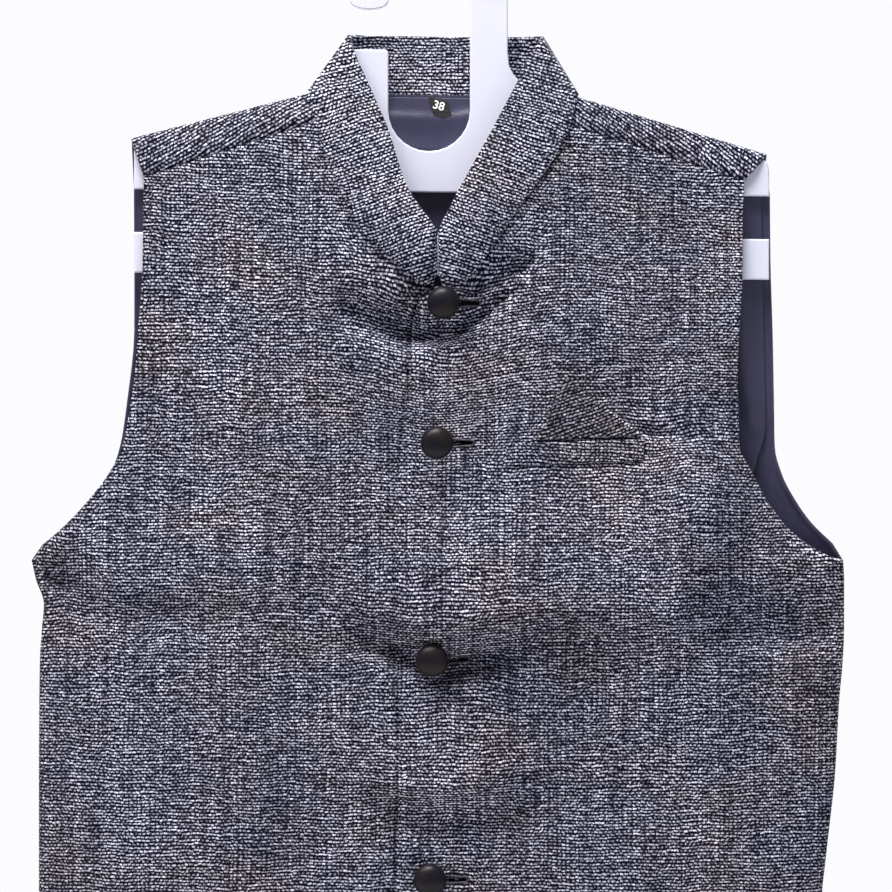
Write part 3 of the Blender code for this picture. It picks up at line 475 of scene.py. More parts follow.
cut = {
    "gap": 0.3, "wall": 1.6, "collarWall": 2.4, "liningWall": 1.0, "pocketWall": 1.2, "labelWall": 0.8,
    "centreX": 6.0, "hemZ": -791.0, "underarmZ": -385.5, "turn": 1.85, "ridgeRadius": 5.8, "neckY": 7.0,
    "standX": 20.0, "lap": 2.0, "underFold": 2.6, "groove": 2.1, "pitch": 3.0, "rowCuts": 4,
    "liningGap": 0.3,
    # the shoulders' height this far from their middle, how fast they fall, and the middle
    "shoulderZ": -111.2, "shoulderFrom": 80.0, "shoulderFall": 0.323, "shoulderX": 9.0,
    # the edges are turned in: share of the turn, and how far out each lies in the flat cut
    "turned": ((0.35, 0.6), (0.75, 1.3), (1.0, 1.85)),
}
shoulders = {
    "right": {"neck": (-74.4, -91.9), "tip": (-186.9, -120.6),
              "seamIn": (-70.6, -110.0), "seamOut": (-178.8, -145.0)},
    "left": {"neck": (92.5, -94.4), "tip": (211.9, -130.6),
             "seamIn": (88.8, -112.5), "seamOut": (197.5, -147.5)},
}
# height, wearer's right, wearer's left
sideSeams = [
    (-385.5, -249.6, 260.0), (-397.5, -246.9, 260.6), (-413.0, -241.9, 260.6), (-428.0, -243.1, 260.6),
    (-447.5, -244.4, 259.8), (-474.0, -244.8, 257.5), (-518.0, -245.0, 255.0), (-570.0, -245.0, 249.4),
    (-600.0, -245.0, 246.6), (-690.0, -246.0, 247.6), (-791.0, -247.0, 250.6)]
# inner edge x, z, outer edge x, z, cuts below
frontRows = {
    "right": [
        (-70.6, -110.0, -178.8, -145.0, 2), (-66.2, -124.0, -179.0, -160.0, 2),
        (-59.4, -143.1, -179.2, -180.0, 2), (-48.1, -166.9, -179.4, -203.0, 1),
        (-38.8, -181.5, -180.4, -222.0, 1), (-26.9, -192.5, -182.0, -241.0, 1),
        (-13.8, -204.4, -183.0, -256.0, 1), (-4.4, -211.5, -183.8, -267.0, 1),
        (4.4, -213.8, -185.0, -276.0, 1), (20.0, -217.0, -186.6, -287.0, 4),
        (20.0, -241.2, -189.2, -302.0, 4), (20.0, -262.5, -192.2, -315.0, 2),
        (20.0, -290.0, -200.6, -331.2, 1), (20.0, -315.0, -208.6, -342.0, 1),
        (20.0, -338.0, -217.6, -352.5, 1), (20.0, -357.0, -230.0, -365.0, 1),
        (20.0, -374.0, -243.0, -376.0, 1)],
    "left": [
        (88.8, -112.5, 197.5, -147.5, 2), (79.4, -131.9, 196.6, -165.0, 2),
        (66.2, -151.2, 196.2, -184.0, 2), (54.4, -166.9, 196.2, -202.0, 1),
        (46.2, -178.8, 195.6, -218.0, 2), (33.1, -198.1, 194.4, -238.0, 1),
        (23.1, -210.0, 193.5, -253.0, 1), (14.4, -214.0, 193.1, -264.0, 1),
        (7.5, -214.4, 193.1, -272.0, 1), (-2.5, -216.3, 193.3, -282.0, 4),
        (-10.6, -241.2, 193.8, -298.0, 4), (-11.2, -262.5, 194.4, -313.8, 2),
        (-13.8, -287.0, 203.0, -332.0, 1), (-16.9, -313.0, 213.0, -350.0, 1),
        (-18.8, -335.6, 224.0, -364.0, 1), (-20.0, -355.0, 236.5, -374.8, 1),
        (-20.6, -373.0, 250.0, -382.4, 1)],
}
# height, x of the lapping edge
lapEdge = [(-216.3, -2.5), (-241.2, -10.6), (-262.5, -11.2), (-287.0, -13.8), (-313.0, -16.9),
           (-355.0, -20.0), (-385.5, -20.6), (-435.0, -20.6), (-490.0, -18.1), (-592.0, -20.0),
           (-791.0, -20.0)]
# the back's rows: height and x at its right and left edge, rise at the neck, cuts
backRowTable = [
    (-150.0, -185.7, -157.0, 214.3, 25.0, 2), (-195.0, -185.6, -197.0, 214.8, 15.0, 1),
    (-241.0, -185.7, -243.0, 216.3, 6.0, 1), (-283.8, -190.0, -290.0, 217.2, 1.0, 1),
    (-313.8, -194.6, -313.8, 217.6, 0.0, 1), (-331.2, -201.0, -331.2, 221.9, 0.0, 1),
    (-347.5, -212.6, -347.5, 230.2, 0.0, 1), (-362.0, -226.6, -362.0, 240.4, 0.0, 1),
    (-375.0, -241.4, -375.0, 253.6, 0.0, 1)]
# below the shoulder, depth in front, depth behind
hangTable = [(0.0, 0.0, 0.0), (30.0, 1.5, 1.0), (75.0, 6.0, 4.5), (125.0, 11.5, 8.5), (200.0, 16.5, 12.5),
             (330.0, 21.0, 16.5), (480.0, 23.0, 18.0), (720.0, 25.0, 20.0)]
# height, depth of the front's edge, depth of the back's edge
edgeTable = [(-90.0, 5.8, 5.8), (-150.0, 5.8, 5.8), (-230.0, 9.5, 9.0), (-300.0, 10.0, 9.5),
             (-345.0, 7.5, 7.5), (-385.5, 0.0, 4.0), (-800.0, 0.0, 4.0)]
# middle x and z of the crest, its slope, half width, reach above and below it, height,
# how far it dips towards the button in the middle, how square its ends are
frontFolds = [
    (56.0, -413.5, -0.04, 84.0, 98.0, 15.0, 14.5, 10.0, 6),
    (14.0, -516.0, 0.03, 50.0, 56.0, 11.0, 12.0, 9.0, 2),
    (8.0, -236.0, 0.05, 42.0, 30.0, 12.0, -6.0, 0.0, 2),
    (-4.0, -650.0, -0.05, 60.0, 60.0, 18.0, 7.0, 8.0, 2),
    (200.0, -346.0, 0.0, 62.0, 30.0, 40.0, 7.5, 0.0, 4),
    (120.0, -560.0, 0.10, 80.0, 70.0, 34.0, 2.4, 0.0, 2),
    (-130.0, -620.0, -0.12, 80.0, 66.0, 36.0, 2.4, 0.0, 2),
]
backFolds = [
    (-60.0, -250.0, 0.35, 80.0, 38.0, 22.0, 4.6, 0.0, 4),
    (90.0, -262.0, -0.30, 80.0, 36.0, 24.0, 4.4, 0.0, 4),
    (10.0, -420.0, 0.05, 120.0, 52.0, 22.0, 5.6, 0.0, 4),
    (-110.0, -560.0, -0.10, 90.0, 48.0, 26.0, 4.8, 0.0, 4),
    (120.0, -610.0, 0.12, 90.0, 52.0, 26.0, 5.0, 0.0, 4),
]
# creases: points along it, width on its left and right hand going along, height
frontCreases = [
    ([(-60, -216), (-40, -233), (-24, -242), (-9, -247), (6, -251)], 11, 9, -11.0),
    ([(-16, -242), (-4, -247), (11, -248), (22, -242), (30, -236), (40, -228), (50, -220), (60, -212)],
     10, 2.6, -9.0),
    ([(18, -221), (32, -215), (44, -210), (56, -204), (70, -195)], 9, 4, -8.5),
    ([(-66, -146), (-50, -169), (-40, -184), (-28, -195.5), (-15, -207.5), (-5, -214.5), (6, -217),
      (22, -220)], 4, 9, -3.6),
    ([(84, -128), (66, -154), (54, -170), (46, -182), (33, -201.5), (23, -213.5), (12, -217.5), (-4, -219)],
     16, 3, 1.6),
    ([(130, -303.5), (142, -305.5), (158, -307)], 2.5, 4, -3.6),
    ([(-90, -312), (-20, -316), (70, -314), (180, -300)], 90, 46, -8.0),
    ([(-110, -300), (-109, -440), (-108, -600), (-110, -800), (-110, -880)], 8, 40, 7.0),
    ([(-92, -250), (-88, -420), (-90, -700)], 12, 12, 0.7),
    ([(163, -210), (150, -315), (147, -410), (132, -592), (130, -780)], 10, 7, 2.6),
    ([(154, -304), (157, -350), (156, -400), (150, -446)], 33, 8, 15.0),
    ([(-60, -426), (-22, -442), (6, -453), (38, -446), (62, -439)], 10, 9, -12.5),
    ([(-46, -532), (-14, -545), (20, -549), (56, -543), (80, -535)], 13, 12, -4.5),
    ([(-300, -415), (-200, -418), (-150, -419), (-90, -416)], 9, 18, -5.0),
    ([(154, -387), (182, -391), (205, -386)], 5, 6, -2.2),
    ([(98, -416), (125, -424), (152, -431)], 8, 10, -1.6),
    ([(196, -372), (226, -380), (254, -376)], 5, 6, -2.0),
    ([(150, -424), (200, -431), (240, -432), (300, -427)], 24, 10, -12.0),
    ([(-322, -391), (-250, -396), (-212, -403)], 12, 7, -18.0),
    ([(-150, -250), (-120, -290), (-96, -345)], 12, 14, 0.9),
    ([(-215, -520), (-170, -530), (-120, -524)], 14, 16, -0.8),
    ([(150, -500), (190, -512), (238, -505)], 14, 16, -0.8),
]
backCreases = [
    ([(-104, -180), (-100, -420), (-101, -790)], 8, 8, 1.3),
    ([(136, -200), (140, -480), (134, -790)], 8, 8, -1.3),
    ([(-170, -300), (-110, -330), (-50, -322)], 10, 9, -1.5),
    ([(60, -345), (120, -352), (190, -335)], 9, 10, -1.4),
    ([(-225, -410), (-160, -418), (-100, -412)], 8, 8, -1.5),
    ([(150, -420), (200, -428), (250, -424)], 8, 8, -1.5),
    ([(-60, -505), (0, -517), (70, -508)], 10, 9, -1.3),
    ([(-190, -660), (-140, -668), (-80, -655)], 10, 12, -1.2),
    ([(60, -690), (120, -700), (190, -688)], 10, 12, -1.2),
    ([(-30, -160), (10, -172), (50, -160)], 10, 12, -1.0),
]
# where the buttons draw the fronts in: x, z, radius, depth
dimples = [(5.0, -311.9, 15.0, 2.2), (1.9, -446.9, 14.0, 1.6),
           (0.6, -583.1, 15.0, 1.8), (0.0, -718.8, 15.0, 2.2)]
# waves of the ripple: how many, the shortest in mm, how much longer each next one is, how high
# they are and how far they lean; and each sheet's seed and amount
waves = {"count": 14, "shortest": 22.0, "growth": 1.17, "height": 0.028, "power": 0.75, "tilt": 0.5,
         "front": (5, 0.26), "back": (9, 0.26), "lining": (21, 0.35)}


def shoulderLine(x):
    return cut["shoulderZ"] - cut["shoulderFall"] * (np.abs(x - cut["shoulderX"]) - cut["shoulderFrom"])


def folds(table, x, z):
    # a long slope down to a crest, and a quick fall below it
    total = np.zeros(np.broadcast(x, z).shape)
    nearButtons = np.exp(-((x - 4.0) / 38.0) ** 2)
    for midX, midZ, slope, half, above, below, height, dip, square in table:
        along = (x - midX) / half
        across = (z - midZ) - slope * (x - midX) + dip * nearButtons
        rise = np.clip(1 - across / above, 0, 1) ** 1.5
        fall = np.exp(-(across / below) ** 2)
        total = total + height * np.exp(-along ** square) * np.where(across > 0, rise, fall)
    return total


def creases(table, x, z):
    # soft troughs and ridges along short bent lines, fading at both ends
    total = np.zeros(np.broadcast(x, z).shape)
    for points, leftWide, rightWide, height in table:
        best = np.full(total.shape, 1e9)
        run = np.zeros(total.shape)
        done = 0.0
        for (ax, az), (bx, bz) in zip(points, points[1:]):
            length = math.dist((ax, az), (bx, bz))
            dx, dz = (bx - ax) / length, (bz - az) / length
            t = np.clip((x - ax) * dx + (z - az) * dz, 0, length)
            offX, offZ = x - (ax + dx * t), z - (az + dz * t)
            far = np.hypot(offX, offZ) * np.where(dx * offZ - dz * offX >= 0, 1.0, -1.0)
            closer = np.abs(far) < np.abs(best)
            best = np.where(closer, far, best)
            run = np.where(closer, done + t, run)
            done += length
        fade = ease(0, 0.2, run / done) * ease(1, 0.8, run / done)
        wide = np.where(best > 0, leftWide, rightWide)
        total = total + height * fade * np.exp(-(best / wide) ** 2)
    return total


def ripple(x, z, which):
    # small unevenness of hung cloth: waves of many lengths and directions
    seed, amount = waves[which]
    rng = np.random.RandomState(seed)
    total = np.zeros(np.broadcast(x, z).shape)
    for k in range(waves["count"]):
        length = waves["shortest"] * waves["growth"] ** k
        angle = rng.uniform(-waves["tilt"], waves["tilt"]) + (0 if k % 2 else math.pi / 2)
        phase = rng.uniform(0, 2 * math.pi)
        way = np.sin(angle) * x + np.cos(angle) * z
        wave = np.sin(2 * math.pi * way / length + phase + 0.9 * np.sin(x / 37.0 + z / 53.0 + k))
        total = total + amount * waves["height"] * length ** waves["power"] * wave
    return total


def hanging(x, z, share, edgeZ, side):
    # share is 0 in the middle and 1 at the edge
    front = side == "front"
    drop = np.maximum(0.0, shoulderLine(x) - z)
    full = cut["ridgeRadius"] + column(hangTable, 1 if front else 2, drop)
    edge = column(edgeTable, 1 if front else 2, edgeZ, falling=True)
    roundOff = mix(1.3, 2.0, ease(-300.0, cut["underarmZ"], edgeZ))
    level = np.clip(1.0 - share ** 3, 0, 1) ** (1.0 / roundOff)
    fine = creases(frontCreases if front else backCreases, x, z)
    if front:
        for spotX, spotZ, radius, depth in dimples:
            fine = fine - depth * np.exp(-((x - spotX) ** 2 + (z - spotZ) ** 2) / radius ** 2)
    fine = fine + ripple(x, z, side)
    # cloth held at the shoulders and the edges neither folds nor creases
    rumple = folds(frontFolds if front else backFolds, x, z) * (1.0 - share ** 6) * ease(4.0, 60.0, drop)
    return edge + (full - edge) * level + rumple + fine * (1.0 - share ** 16) * ease(0.0, 40.0, drop)


def innerX(side, z):
    return np.full(np.shape(z), cut["standX"]) if side == "right" else column(lapEdge, 1, z, falling=True)


def lapStep(x, z):
    # the front beneath is set back where the other laps over it
    edge = innerX("left", z)
    underFold = cut["underFold"] * ease(-212.0, -222.0, z) * ease(-335.0, -285.0, z)
    step = (cut["lap"] + underFold) * ease(edge - 16.0, edge - 3.0, x)
    step = step + cut["groove"] * ease(edge - 3.4, edge - 0.7, x)
    return step * ease(-196.0, -211.0, z)


def finerRows(table, cuts):
    # the last number of each row says into how many its stretch is cut
    at = [i + k / (row[-1] * cuts) for i, row in enumerate(table[:-1]) for k in range(row[-1] * cuts)]
    at.append(len(table) - 1)
    return np.stack([curveThrough(range(len(table)), [row[c] for row in table], at)
                     for c in range(len(table[0]) - 1)], 1)


def heightsBelow():
    count = round((cut["underarmZ"] - cut["hemZ"]) / cut["pitch"])
    return np.linspace(cut["underarmZ"], cut["hemZ"], count + 1)


def frontRowsOf(side, cuts):
    z = heightsBelow()
    outer = column(sideSeams, 1 if side == "right" else 2, z, falling=True)
    return np.concatenate([finerRows(frontRows[side], cuts), np.stack([innerX(side, z), z, outer, z], 1)])


def frontPoints(side, rows, across):
    # rows down, across from the inner edge out
    xIn, zIn, xOut, zOut = (rows[:, k:k + 1] for k in range(4))
    x = mix(xIn, xOut, across[None, :])
    z = mix(zIn, zOut, across[None, :])
    share = np.clip((x - cut["centreX"]) / (xOut - cut["centreX"]), 0, 1)
    depth = hanging(x, z, share, zOut + 0 * x, "front")
    if side == "right":
        depth = depth - lapStep(x, z)
    return np.stack([x, -depth, z], 2)


frontGrid = {side: frontRowsOf(side, 3) for side in ("left", "right")}


def onFront(side, x, z, lift=0.0):
    # a point of a front's outer face at x, z, moved out by lift
    rows = frontGrid[side]
    t = np.clip((x - rows[:, 0]) / (rows[:, 2] - rows[:, 0]), 0, 1)
    zs = mix(rows[:, 1], rows[:, 3], t)
    i = int(np.clip(np.searchsorted(-zs, -z) - 1, 0, len(zs) - 2))
    k = np.clip((zs[i] - z) / max(zs[i] - zs[i + 1], 1e-6), 0, 1)
    xOut, zOut = mix(rows[i, 2], rows[i + 1, 2], k), mix(rows[i, 3], rows[i + 1, 3], k)
    share = np.clip((x - cut["centreX"]) / (xOut - cut["centreX"]), 0, 1)
    depth = float(hanging(*(np.array([v]) for v in (x, z, share, zOut)), "front")[0])
    if side == "right":
        depth -= float(lapStep(np.array([x]), np.array([z]))[0])
    return Vector((x, -depth - lift, z))


# ---- making pieces

def finishPiece(name, bm, finishes, smooth=True):
    mesh = newMesh(name, bm)
    for finish in finishes:
        mesh.materials.append(finish)
    if smooth:
        mesh.shade_smooth()
    piece = newObject(name, mesh)
    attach(piece, "root")
    return piece


def softenRim(piece, width):
    rim = piece.modifiers.new("softRim", "BEVEL")
    rim.width = width * mm
    rim.segments = 2
    rim.limit_method = "ANGLE"
    rim.angle_limit = math.radians(55)


def clothSheet(name, points, grain, outward, finishes, wall, rimSoft, without=None, faced=(0, 0), even=True,
               rimFinish=0):
    # points and grain are arrays [row, column], in mm; outward is +1 or -1 along y at the middle;
    # as many columns as faced says have the second finish, at the first and the last side
    rows, columns = points.shape[0] - 1, points.shape[1] - 1
    bm = bmesh.new()
    bmesh.ops.create_grid(bm, x_segments=columns, y_segments=rows, size=0.5)
    if without is not None:
        middles = [(face, face.calc_center_median() + Vector((0.5, 0.5, 0))) for face in bm.faces]
        gone = [face for face, middle in middles if without(int(middle.y * rows), int(middle.x * columns))]
        bmesh.ops.delete(bm, geom=gone, context="FACES")
    layer = bm.loops.layers.uv.new("clothGrain")
    spots = {v: (round((v.co.y + 0.5) * rows), round((v.co.x + 0.5) * columns)) for v in bm.verts}
    for vert, at in spots.items():
        vert.co = Vector(points[at]) * mm
    for face in bm.faces:
        for loop in face.loops:
            loop[layer].uv = grain[spots[loop.vert]]
        at = [spots[v][1] for v in face.verts]
        if min(at) < faced[0] or max(at) > columns - faced[1]:
            face.material_index = 1
    bm.normal_update()
    total = sum((f.normal.y * f.calc_area() for f in bm.faces), 0.0)
    if total * outward < 0:
        bmesh.ops.reverse_faces(bm, faces=bm.faces[:])
    piece = finishPiece(name, bm, finishes)
    shell = piece.modifiers.new("wall", "SOLIDIFY")
    shell.thickness = wall * mm
    shell.offset = -1.0
    shell.use_even_offset = even
    shell.material_offset_rim = rimFinish
    shell.material_offset = 1 if len(finishes) > 1 else 0
    softenRim(piece, rimSoft)
    return piece


# rows and columns over which the steepness is evened out, rows over which it fades at both
# ends, how much of it is kept down and across the cloth, and how far from the middle it starts
flatCut = {"rows": 18, "fade": (12, 13), "columns": 4, "down": 0.8, "across": 0.25, "steepFrom": (40, 90)}


def layFlat(points, middleX, f=flatCut):
    # across x and z, with each steep place given the cloth that it takes up
    x, y, z = (points[..., k] for k in range(3))
    up = np.hypot(np.diff(y, axis=0), np.diff(z, axis=0)) - np.abs(np.diff(z, axis=0))
    rise = np.zeros(x.shape)
    rise[1:] = np.cumsum(up, 0) * (1 if z[-1].mean() > z[0].mean() else -1)
    wide = np.pad(rise, ((f["rows"], f["rows"]), (0, 0)), mode="edge")
    mean = np.stack([wide[k:k + len(rise)] for k in range(2 * f["rows"] + 1)]).mean(0)
    rows = np.arange(len(rise))[:, None]
    rise = (rise - mean) * ease(0, f["fade"][0], rows) * ease(len(rise) - 1, len(rise) - f["fade"][1], rows)
    near = np.pad(rise, ((0, 0), (f["columns"], f["columns"])), mode="edge")
    rise = np.stack([near[:, k:k + x.shape[1]] for k in range(2 * f["columns"] + 1)]).mean(0) * f["down"]
    out = np.hypot(np.diff(y, axis=1), np.diff(x, axis=1)) - np.abs(np.diff(x, axis=1))
    middle = (x[:, 1:] + x[:, :-1]) / 2 - middleX
    side = np.zeros(x.shape)
    side[:, 1:] = np.cumsum(out * ease(*f["steepFrom"], np.abs(middle)) * np.sign(middle), 1)
    centre = np.argmin(np.abs(x - middleX), 1)
    side = side - side[np.arange(len(side)), centre][:, None]
    return np.stack([x + side * f["across"], z + rise], 2)


def declare(piece, width, length, area):
    width, length, area = float(width), float(length), float(min(area, width * length))
    print("cut:", piece.name, round(width, 3), "x", round(length, 3), "m, area", round(area, 5))


def declareCloth(piece, grain, without=None):
    # width, length and area in metres of the sheet's flat cut
    spread = grain.reshape(-1, 2)
    size = (spread.max(0) - spread.min(0)) * mm
    first, second = grain[1:, 1:] - grain[:-1, :-1], grain[1:, :-1] - grain[:-1, 1:]
    cells = np.abs(first[..., 0] * second[..., 1] - first[..., 1] * second[..., 0]) / 2 * mm * mm
    if without is not None:
        kept = [not without(j, i) for j, i in np.ndindex(cells.shape)]
        cells = cells * np.reshape(kept, cells.shape)
    declare(piece, size[0], size[1], cells.sum())


def declareBand(piece, points):
    # a band or patch: its length along the middle, its height at the highest place
    ups = np.linalg.norm(np.diff(points, axis=0), axis=2).sum(0)
    alongs = np.linalg.norm(np.diff(points, axis=1), axis=2).sum(1)
    first, second = points[1:, 1:] - points[:-1, :-1], points[1:, :-1] - points[:-1, 1:]
    sides = np.linalg.norm(np.cross(first, second), axis=2)
    declare(piece, alongs.max() * mm, ups.max() * mm, sides.sum() / 2 * mm * mm)


# ---- the fronts

fronts = {"columns": 112, "lapShare": (0.104, 0.172), "lapColumns": 32, "rim": 0.45,
          # the shoulder seam draws the first rows in
          "seamIn": (0.7, 0.2),
          # threads dip towards the first button, where the cloth is gathered
          "dip": 12.0, "dipX": 8.0, "dipWide": 42.0, "tilt": 0.05}


def bendGrain(x, z, f):
    dip = f["dip"] * np.exp(-((x - f["dipX"]) / f["dipWide"]) ** 2)
    dip = dip * ease(-330, -262, z) * ease(-188, -228, z)
    tilt = f["tilt"] * (x - f["dipX"]) * ease(-300, -150, z)
    return z + dip + tilt


def frontSheet(side, f):
    rows = frontRowsOf(side, cut["rowCuts"])
    q = np.linspace(0, 1, f["columns"] + 1)
    # closer together towards both edges, and where the lapped edge passes over
    across = q - 0.5 * np.sin(2 * math.pi * q) / (2 * math.pi)
    if side == "right":
        low, high = f["lapShare"]
        across = np.concatenate([across[across < low], np.linspace(low, high, f["lapColumns"] + 1),
                                 across[across > high]])
    points = frontPoints(side, rows, across)
    points[0, :, 2] -= cut["gap"]
    for row, drawn in enumerate(f["seamIn"]):
        points[row, :, 1] += drawn
    flat = layFlat(points, cut["centreX"])
    flat[..., 1] += bendGrain(points[..., 0], points[..., 2], f) - points[..., 2]
    last, lastFlat = points[:, -1:, :], flat[:, -1:, :]
    for turn, out in cut["turned"]:
        points = np.concatenate([points, last + [0, cut["turn"] * turn, 0]], 1)
        flat = np.concatenate([flat, lastFlat + [out if side == "left" else -out, 0]], 1)
    return points, flat


for side in ("right", "left"):
    points, grain = frontSheet(side, fronts)
    piece = clothSheet("front_cloth_" + side, points, grain, -1, [tweedCloth, satinCloth], cut["wall"],
                       fronts["rim"])
    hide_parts("front_" + side)
    declareCloth(piece, grain)
lapped = piece
print("stage: fronts ready")


# ---- buttonholes: tapered slits cut through the lapped front, worked round with thread

# x, z, and how far the button stands off the cloth
buttonSpots = [(8.8, -224.4, 3.0), (5.0, -311.9, 1.4), (1.9, -446.9, 1.4), (0.6, -583.1, 1.4),
               (0.0, -718.8, 1.4)]
buttonhole = {"back": 3.4, "length": 25.0, "wide": 5.4, "narrow": 2.4, "thread": 0.75, "spacing": 0.8,
              "before": 4.0, "spare": 0.2, "edge": 0.45, "lift": 0.15, "strands": (0.7, 1.0)}


def holeOutline(x, z, h, grow=0.0):
    points = []
    for middle, wide, start, steps in ((x - h["back"] + h["wide"] / 2, h["wide"], math.pi / 2, 8),
                                       (x - h["back"] + h["length"], h["narrow"], -math.pi / 2, 4)):
        for k in range(steps + 1):
            angle = start + math.pi * k / steps
            points.append((middle + (wide / 2 + grow) * math.cos(angle),
                           z + (wide / 2 + grow) * math.sin(angle)))
    return points


def cutButtonholes(piece, spots, h):
    bm = bmesh.new()
    for x, z, _ in spots:
        y = onFront("left", x, z).y
        under = onFront("right", x, z).y
        corners = [bm.verts.new(Vector((px, y - h["before"], pz)) * mm) for px, pz in holeOutline(x, z, h)]
        pushed = bmesh.ops.extrude_face_region(bm, geom=[bm.faces.new(corners)])
        moved = [v for v in pushed["geom"] if isinstance(v, bmesh.types.BMVert)]
        bmesh.ops.translate(bm, verts=moved, vec=(0, (h["before"] + under - y - h["spare"]) * mm, 0))
    bmesh.ops.recalc_face_normals(bm, faces=bm.faces[:])
    cutter = newObject("buttonholeCutter", newMesh("buttonholeCutter", bm))
    cutter.data.materials.append(sewingCotton)
    piece.modifiers.remove(piece.modifiers["softRim"])
    slit = piece.modifiers.new("slits", "BOOLEAN")
    slit.operation = "DIFFERENCE"
    slit.object = cutter
    made, old = meshOf(piece), piece.data
    piece.modifiers.clear()
    piece.data = made
    made.name = old.name + "_cut"
    bpy.data.meshes.remove(old)
    bpy.data.objects.remove(cutter)
    softenRim(piece, fronts["rim"])


def tube(bm, points, radius, sides):
    # a closed round thread through points, by walking a ring along them
    rings = []
    for k, point in enumerate(points):
        way = (points[(k + 1) % len(points)] - points[k - 1]).normalized()
        turn = way.to_track_quat("Z", "Y").to_matrix().to_4x4()
        rings.append(bmesh.ops.create_circle(bm, cap_ends=False, segments=sides, radius=radius[k] * mm,
                                             matrix=Matrix.Translation(point * mm) @ turn)["verts"])
    for pair in zip(rings, rings[1:] + rings[:1]):
        edges = {e for ring in pair for v in ring for e in v.link_edges if e.other_vert(v) in ring}
        bmesh.ops.bridge_loops(bm, edges=list(edges))


def workButtonholes(spots, h):
    bm = bmesh.new()
    for x, z, _ in spots:
        outline = holeOutline(x, z, h, h["edge"])
        path = []
        for (ax, az), (bx, bz) in zip(outline, outline[1:] + outline[:1]):
            steps = max(1, round(math.dist((ax, az), (bx, bz)) / h["spacing"]))
            path += [(mix(ax, bx, k / steps), mix(az, bz, k / steps)) for k in range(steps)]
        points = [onFront("left", px, pz, h["lift"]) for px, pz in path]
        tube(bm, points, [h["thread"] * h["strands"][k % 2] for k in range(len(points))], 6)
    bmesh.ops.recalc_face_normals(bm, faces=bm.faces[:])
    piece = finishPiece("buttonhole_stitching", bm, [sewingCotton])


cutButtonholes(lapped, buttonSpots, buttonhole)
workButtonholes(buttonSpots, buttonhole)
print("stage: buttonholes ready")


# ---- the back, brought over both shoulders to the seams in front

backCloth = {"columns": 168, "wrap": 8, "strip": 16, "neckShare": 7 / 24, "rim": 0.45,
             # rows stand closer near the ridge, and the shoulder seam draws the last ones in
             "closer": 1.4, "seamIn": 1.3, "seamFrom": 0.86,
             # share of the way over which the ridge goes back to the neck's seam
             "neckBlend": 0.035}


def ridgeLine(u):
    right, left = shoulders["right"], shoulders["left"]
    ends = (right["tip"], right["neck"], left["neck"], left["tip"])
    shares = [0, backCloth["neckShare"], 1 - backCloth["neckShare"], 1]
    return tuple(np.interp(u, shares, [end[axis] for end in ends]) for axis in (0, 1))


def backRowsOf(cuts):
    z = heightsBelow()
    right, left = (column(sideSeams, which, z, falling=True) for which in (1, 2))
    below = np.stack([z, right, z, left, 0 * z], 1)
    return np.concatenate([finerRows(backRowTable, cuts), below])[::-1]


def crown(u):
    # 0 at both armholes, 1 from neck point to neck point
    return np.clip(np.minimum(u, 1 - u) / backCloth["neckShare"], 0, 1)


def backPoints(rows, u):
    zRight, xRight, zLeft, xLeft, rise = (rows[:, k:k + 1] for k in range(5))
    x = mix(xRight, xLeft, u)
    z = mix(zRight, zLeft, u) + rise * crown(u)
    edge = np.where(x > cut["centreX"], xLeft + 0 * x, xRight + 0 * x)
    share = np.clip((x - cut["centreX"]) / (edge - cut["centreX"]), 0, 1)
    return np.stack([x, hanging(x, z, share, mix(zRight, zLeft, u), "back"), z], 2)


def bendPoints(u, angle):
    # over the ridge from behind: angle 0 behind, 90 on top
    x, z = ridgeLine(u)
    y = cut["ridgeRadius"] * math.cos(math.radians(angle)) + 0 * x
    start = backCloth["neckShare"]
    y = mix(y, cut["neckY"], ease(start, start + backCloth["neckBlend"], np.minimum(u, 1 - u)))
    return np.stack([x, y, z - cut["ridgeRadius"] * (1 - math.sin(math.radians(angle)))], -1)


def stripPoints(u, fall):
    # from the ridge, fall 0, forwards and down to the shoulder seam, fall 1
    startX, startZ = ridgeLine(u)
    right, left = (np.array([mix(out, inner, crown(u)) for out, inner in zip(s["seamOut"], s["seamIn"])])
                   for s in (shoulders["right"], shoulders["left"]))
    endX, endZ = np.where(u < 0.5, right, left)
    forwards = cut["ridgeRadius"] * math.sin(math.pi / 2 * fall ** 0.6)
    return np.stack([mix(startX, endX, fall), 0 * startX - forwards, mix(startZ, endZ, fall)], -1)


def overShoulder(points, u, girth):
    # where cloth in front of the ridge lies in the back's flat cut: turned over the ridge line
    flat = []
    for k, share in enumerate(u):
        spec = shoulders["right" if share < 0.5 else "left"]
        way = (Vector(spec["tip"]) - Vector(spec["neck"])).normalized()
        normal = Vector((-way.y, way.x))
        if normal.y < 0:
            normal = -normal
        at = Vector([float(line[0]) for line in ridgeLine(np.array([share]))])
        along = (Vector((points[k][0], points[k][2])) - at).dot(way)
        flat.append(list(at + way * along + normal * girth[k]))
    return np.array(flat)


def turnIn(points, which, amount, bodyRows, b):
    # one side's edge moved in: forwards behind, towards the middle of the bend on the ridge,
    # and more and more backwards on the strip in front
    edge = points[:, which, :].copy()
    over = np.arange(len(edge)) - bodyRows
    edge[over < 0, 1] -= amount
    ridgeX, ridgeZ = ridgeLine(0.0 if which == 0 else 1.0)
    bend = (over >= 0) & (over <= b["wrap"])
    away = edge[bend] - np.array([ridgeX, 0.0, ridgeZ - cut["ridgeRadius"]])
    edge[bend] -= away / np.linalg.norm(away, axis=1)[:, None] * amount
    strip = over > b["wrap"]
    down = ((over[strip] - b["wrap"]) / b["strip"]) ** b["closer"]
    edge[strip, 1] += amount * down
    edge[strip, 2] -= amount * (1 - down)
    return edge


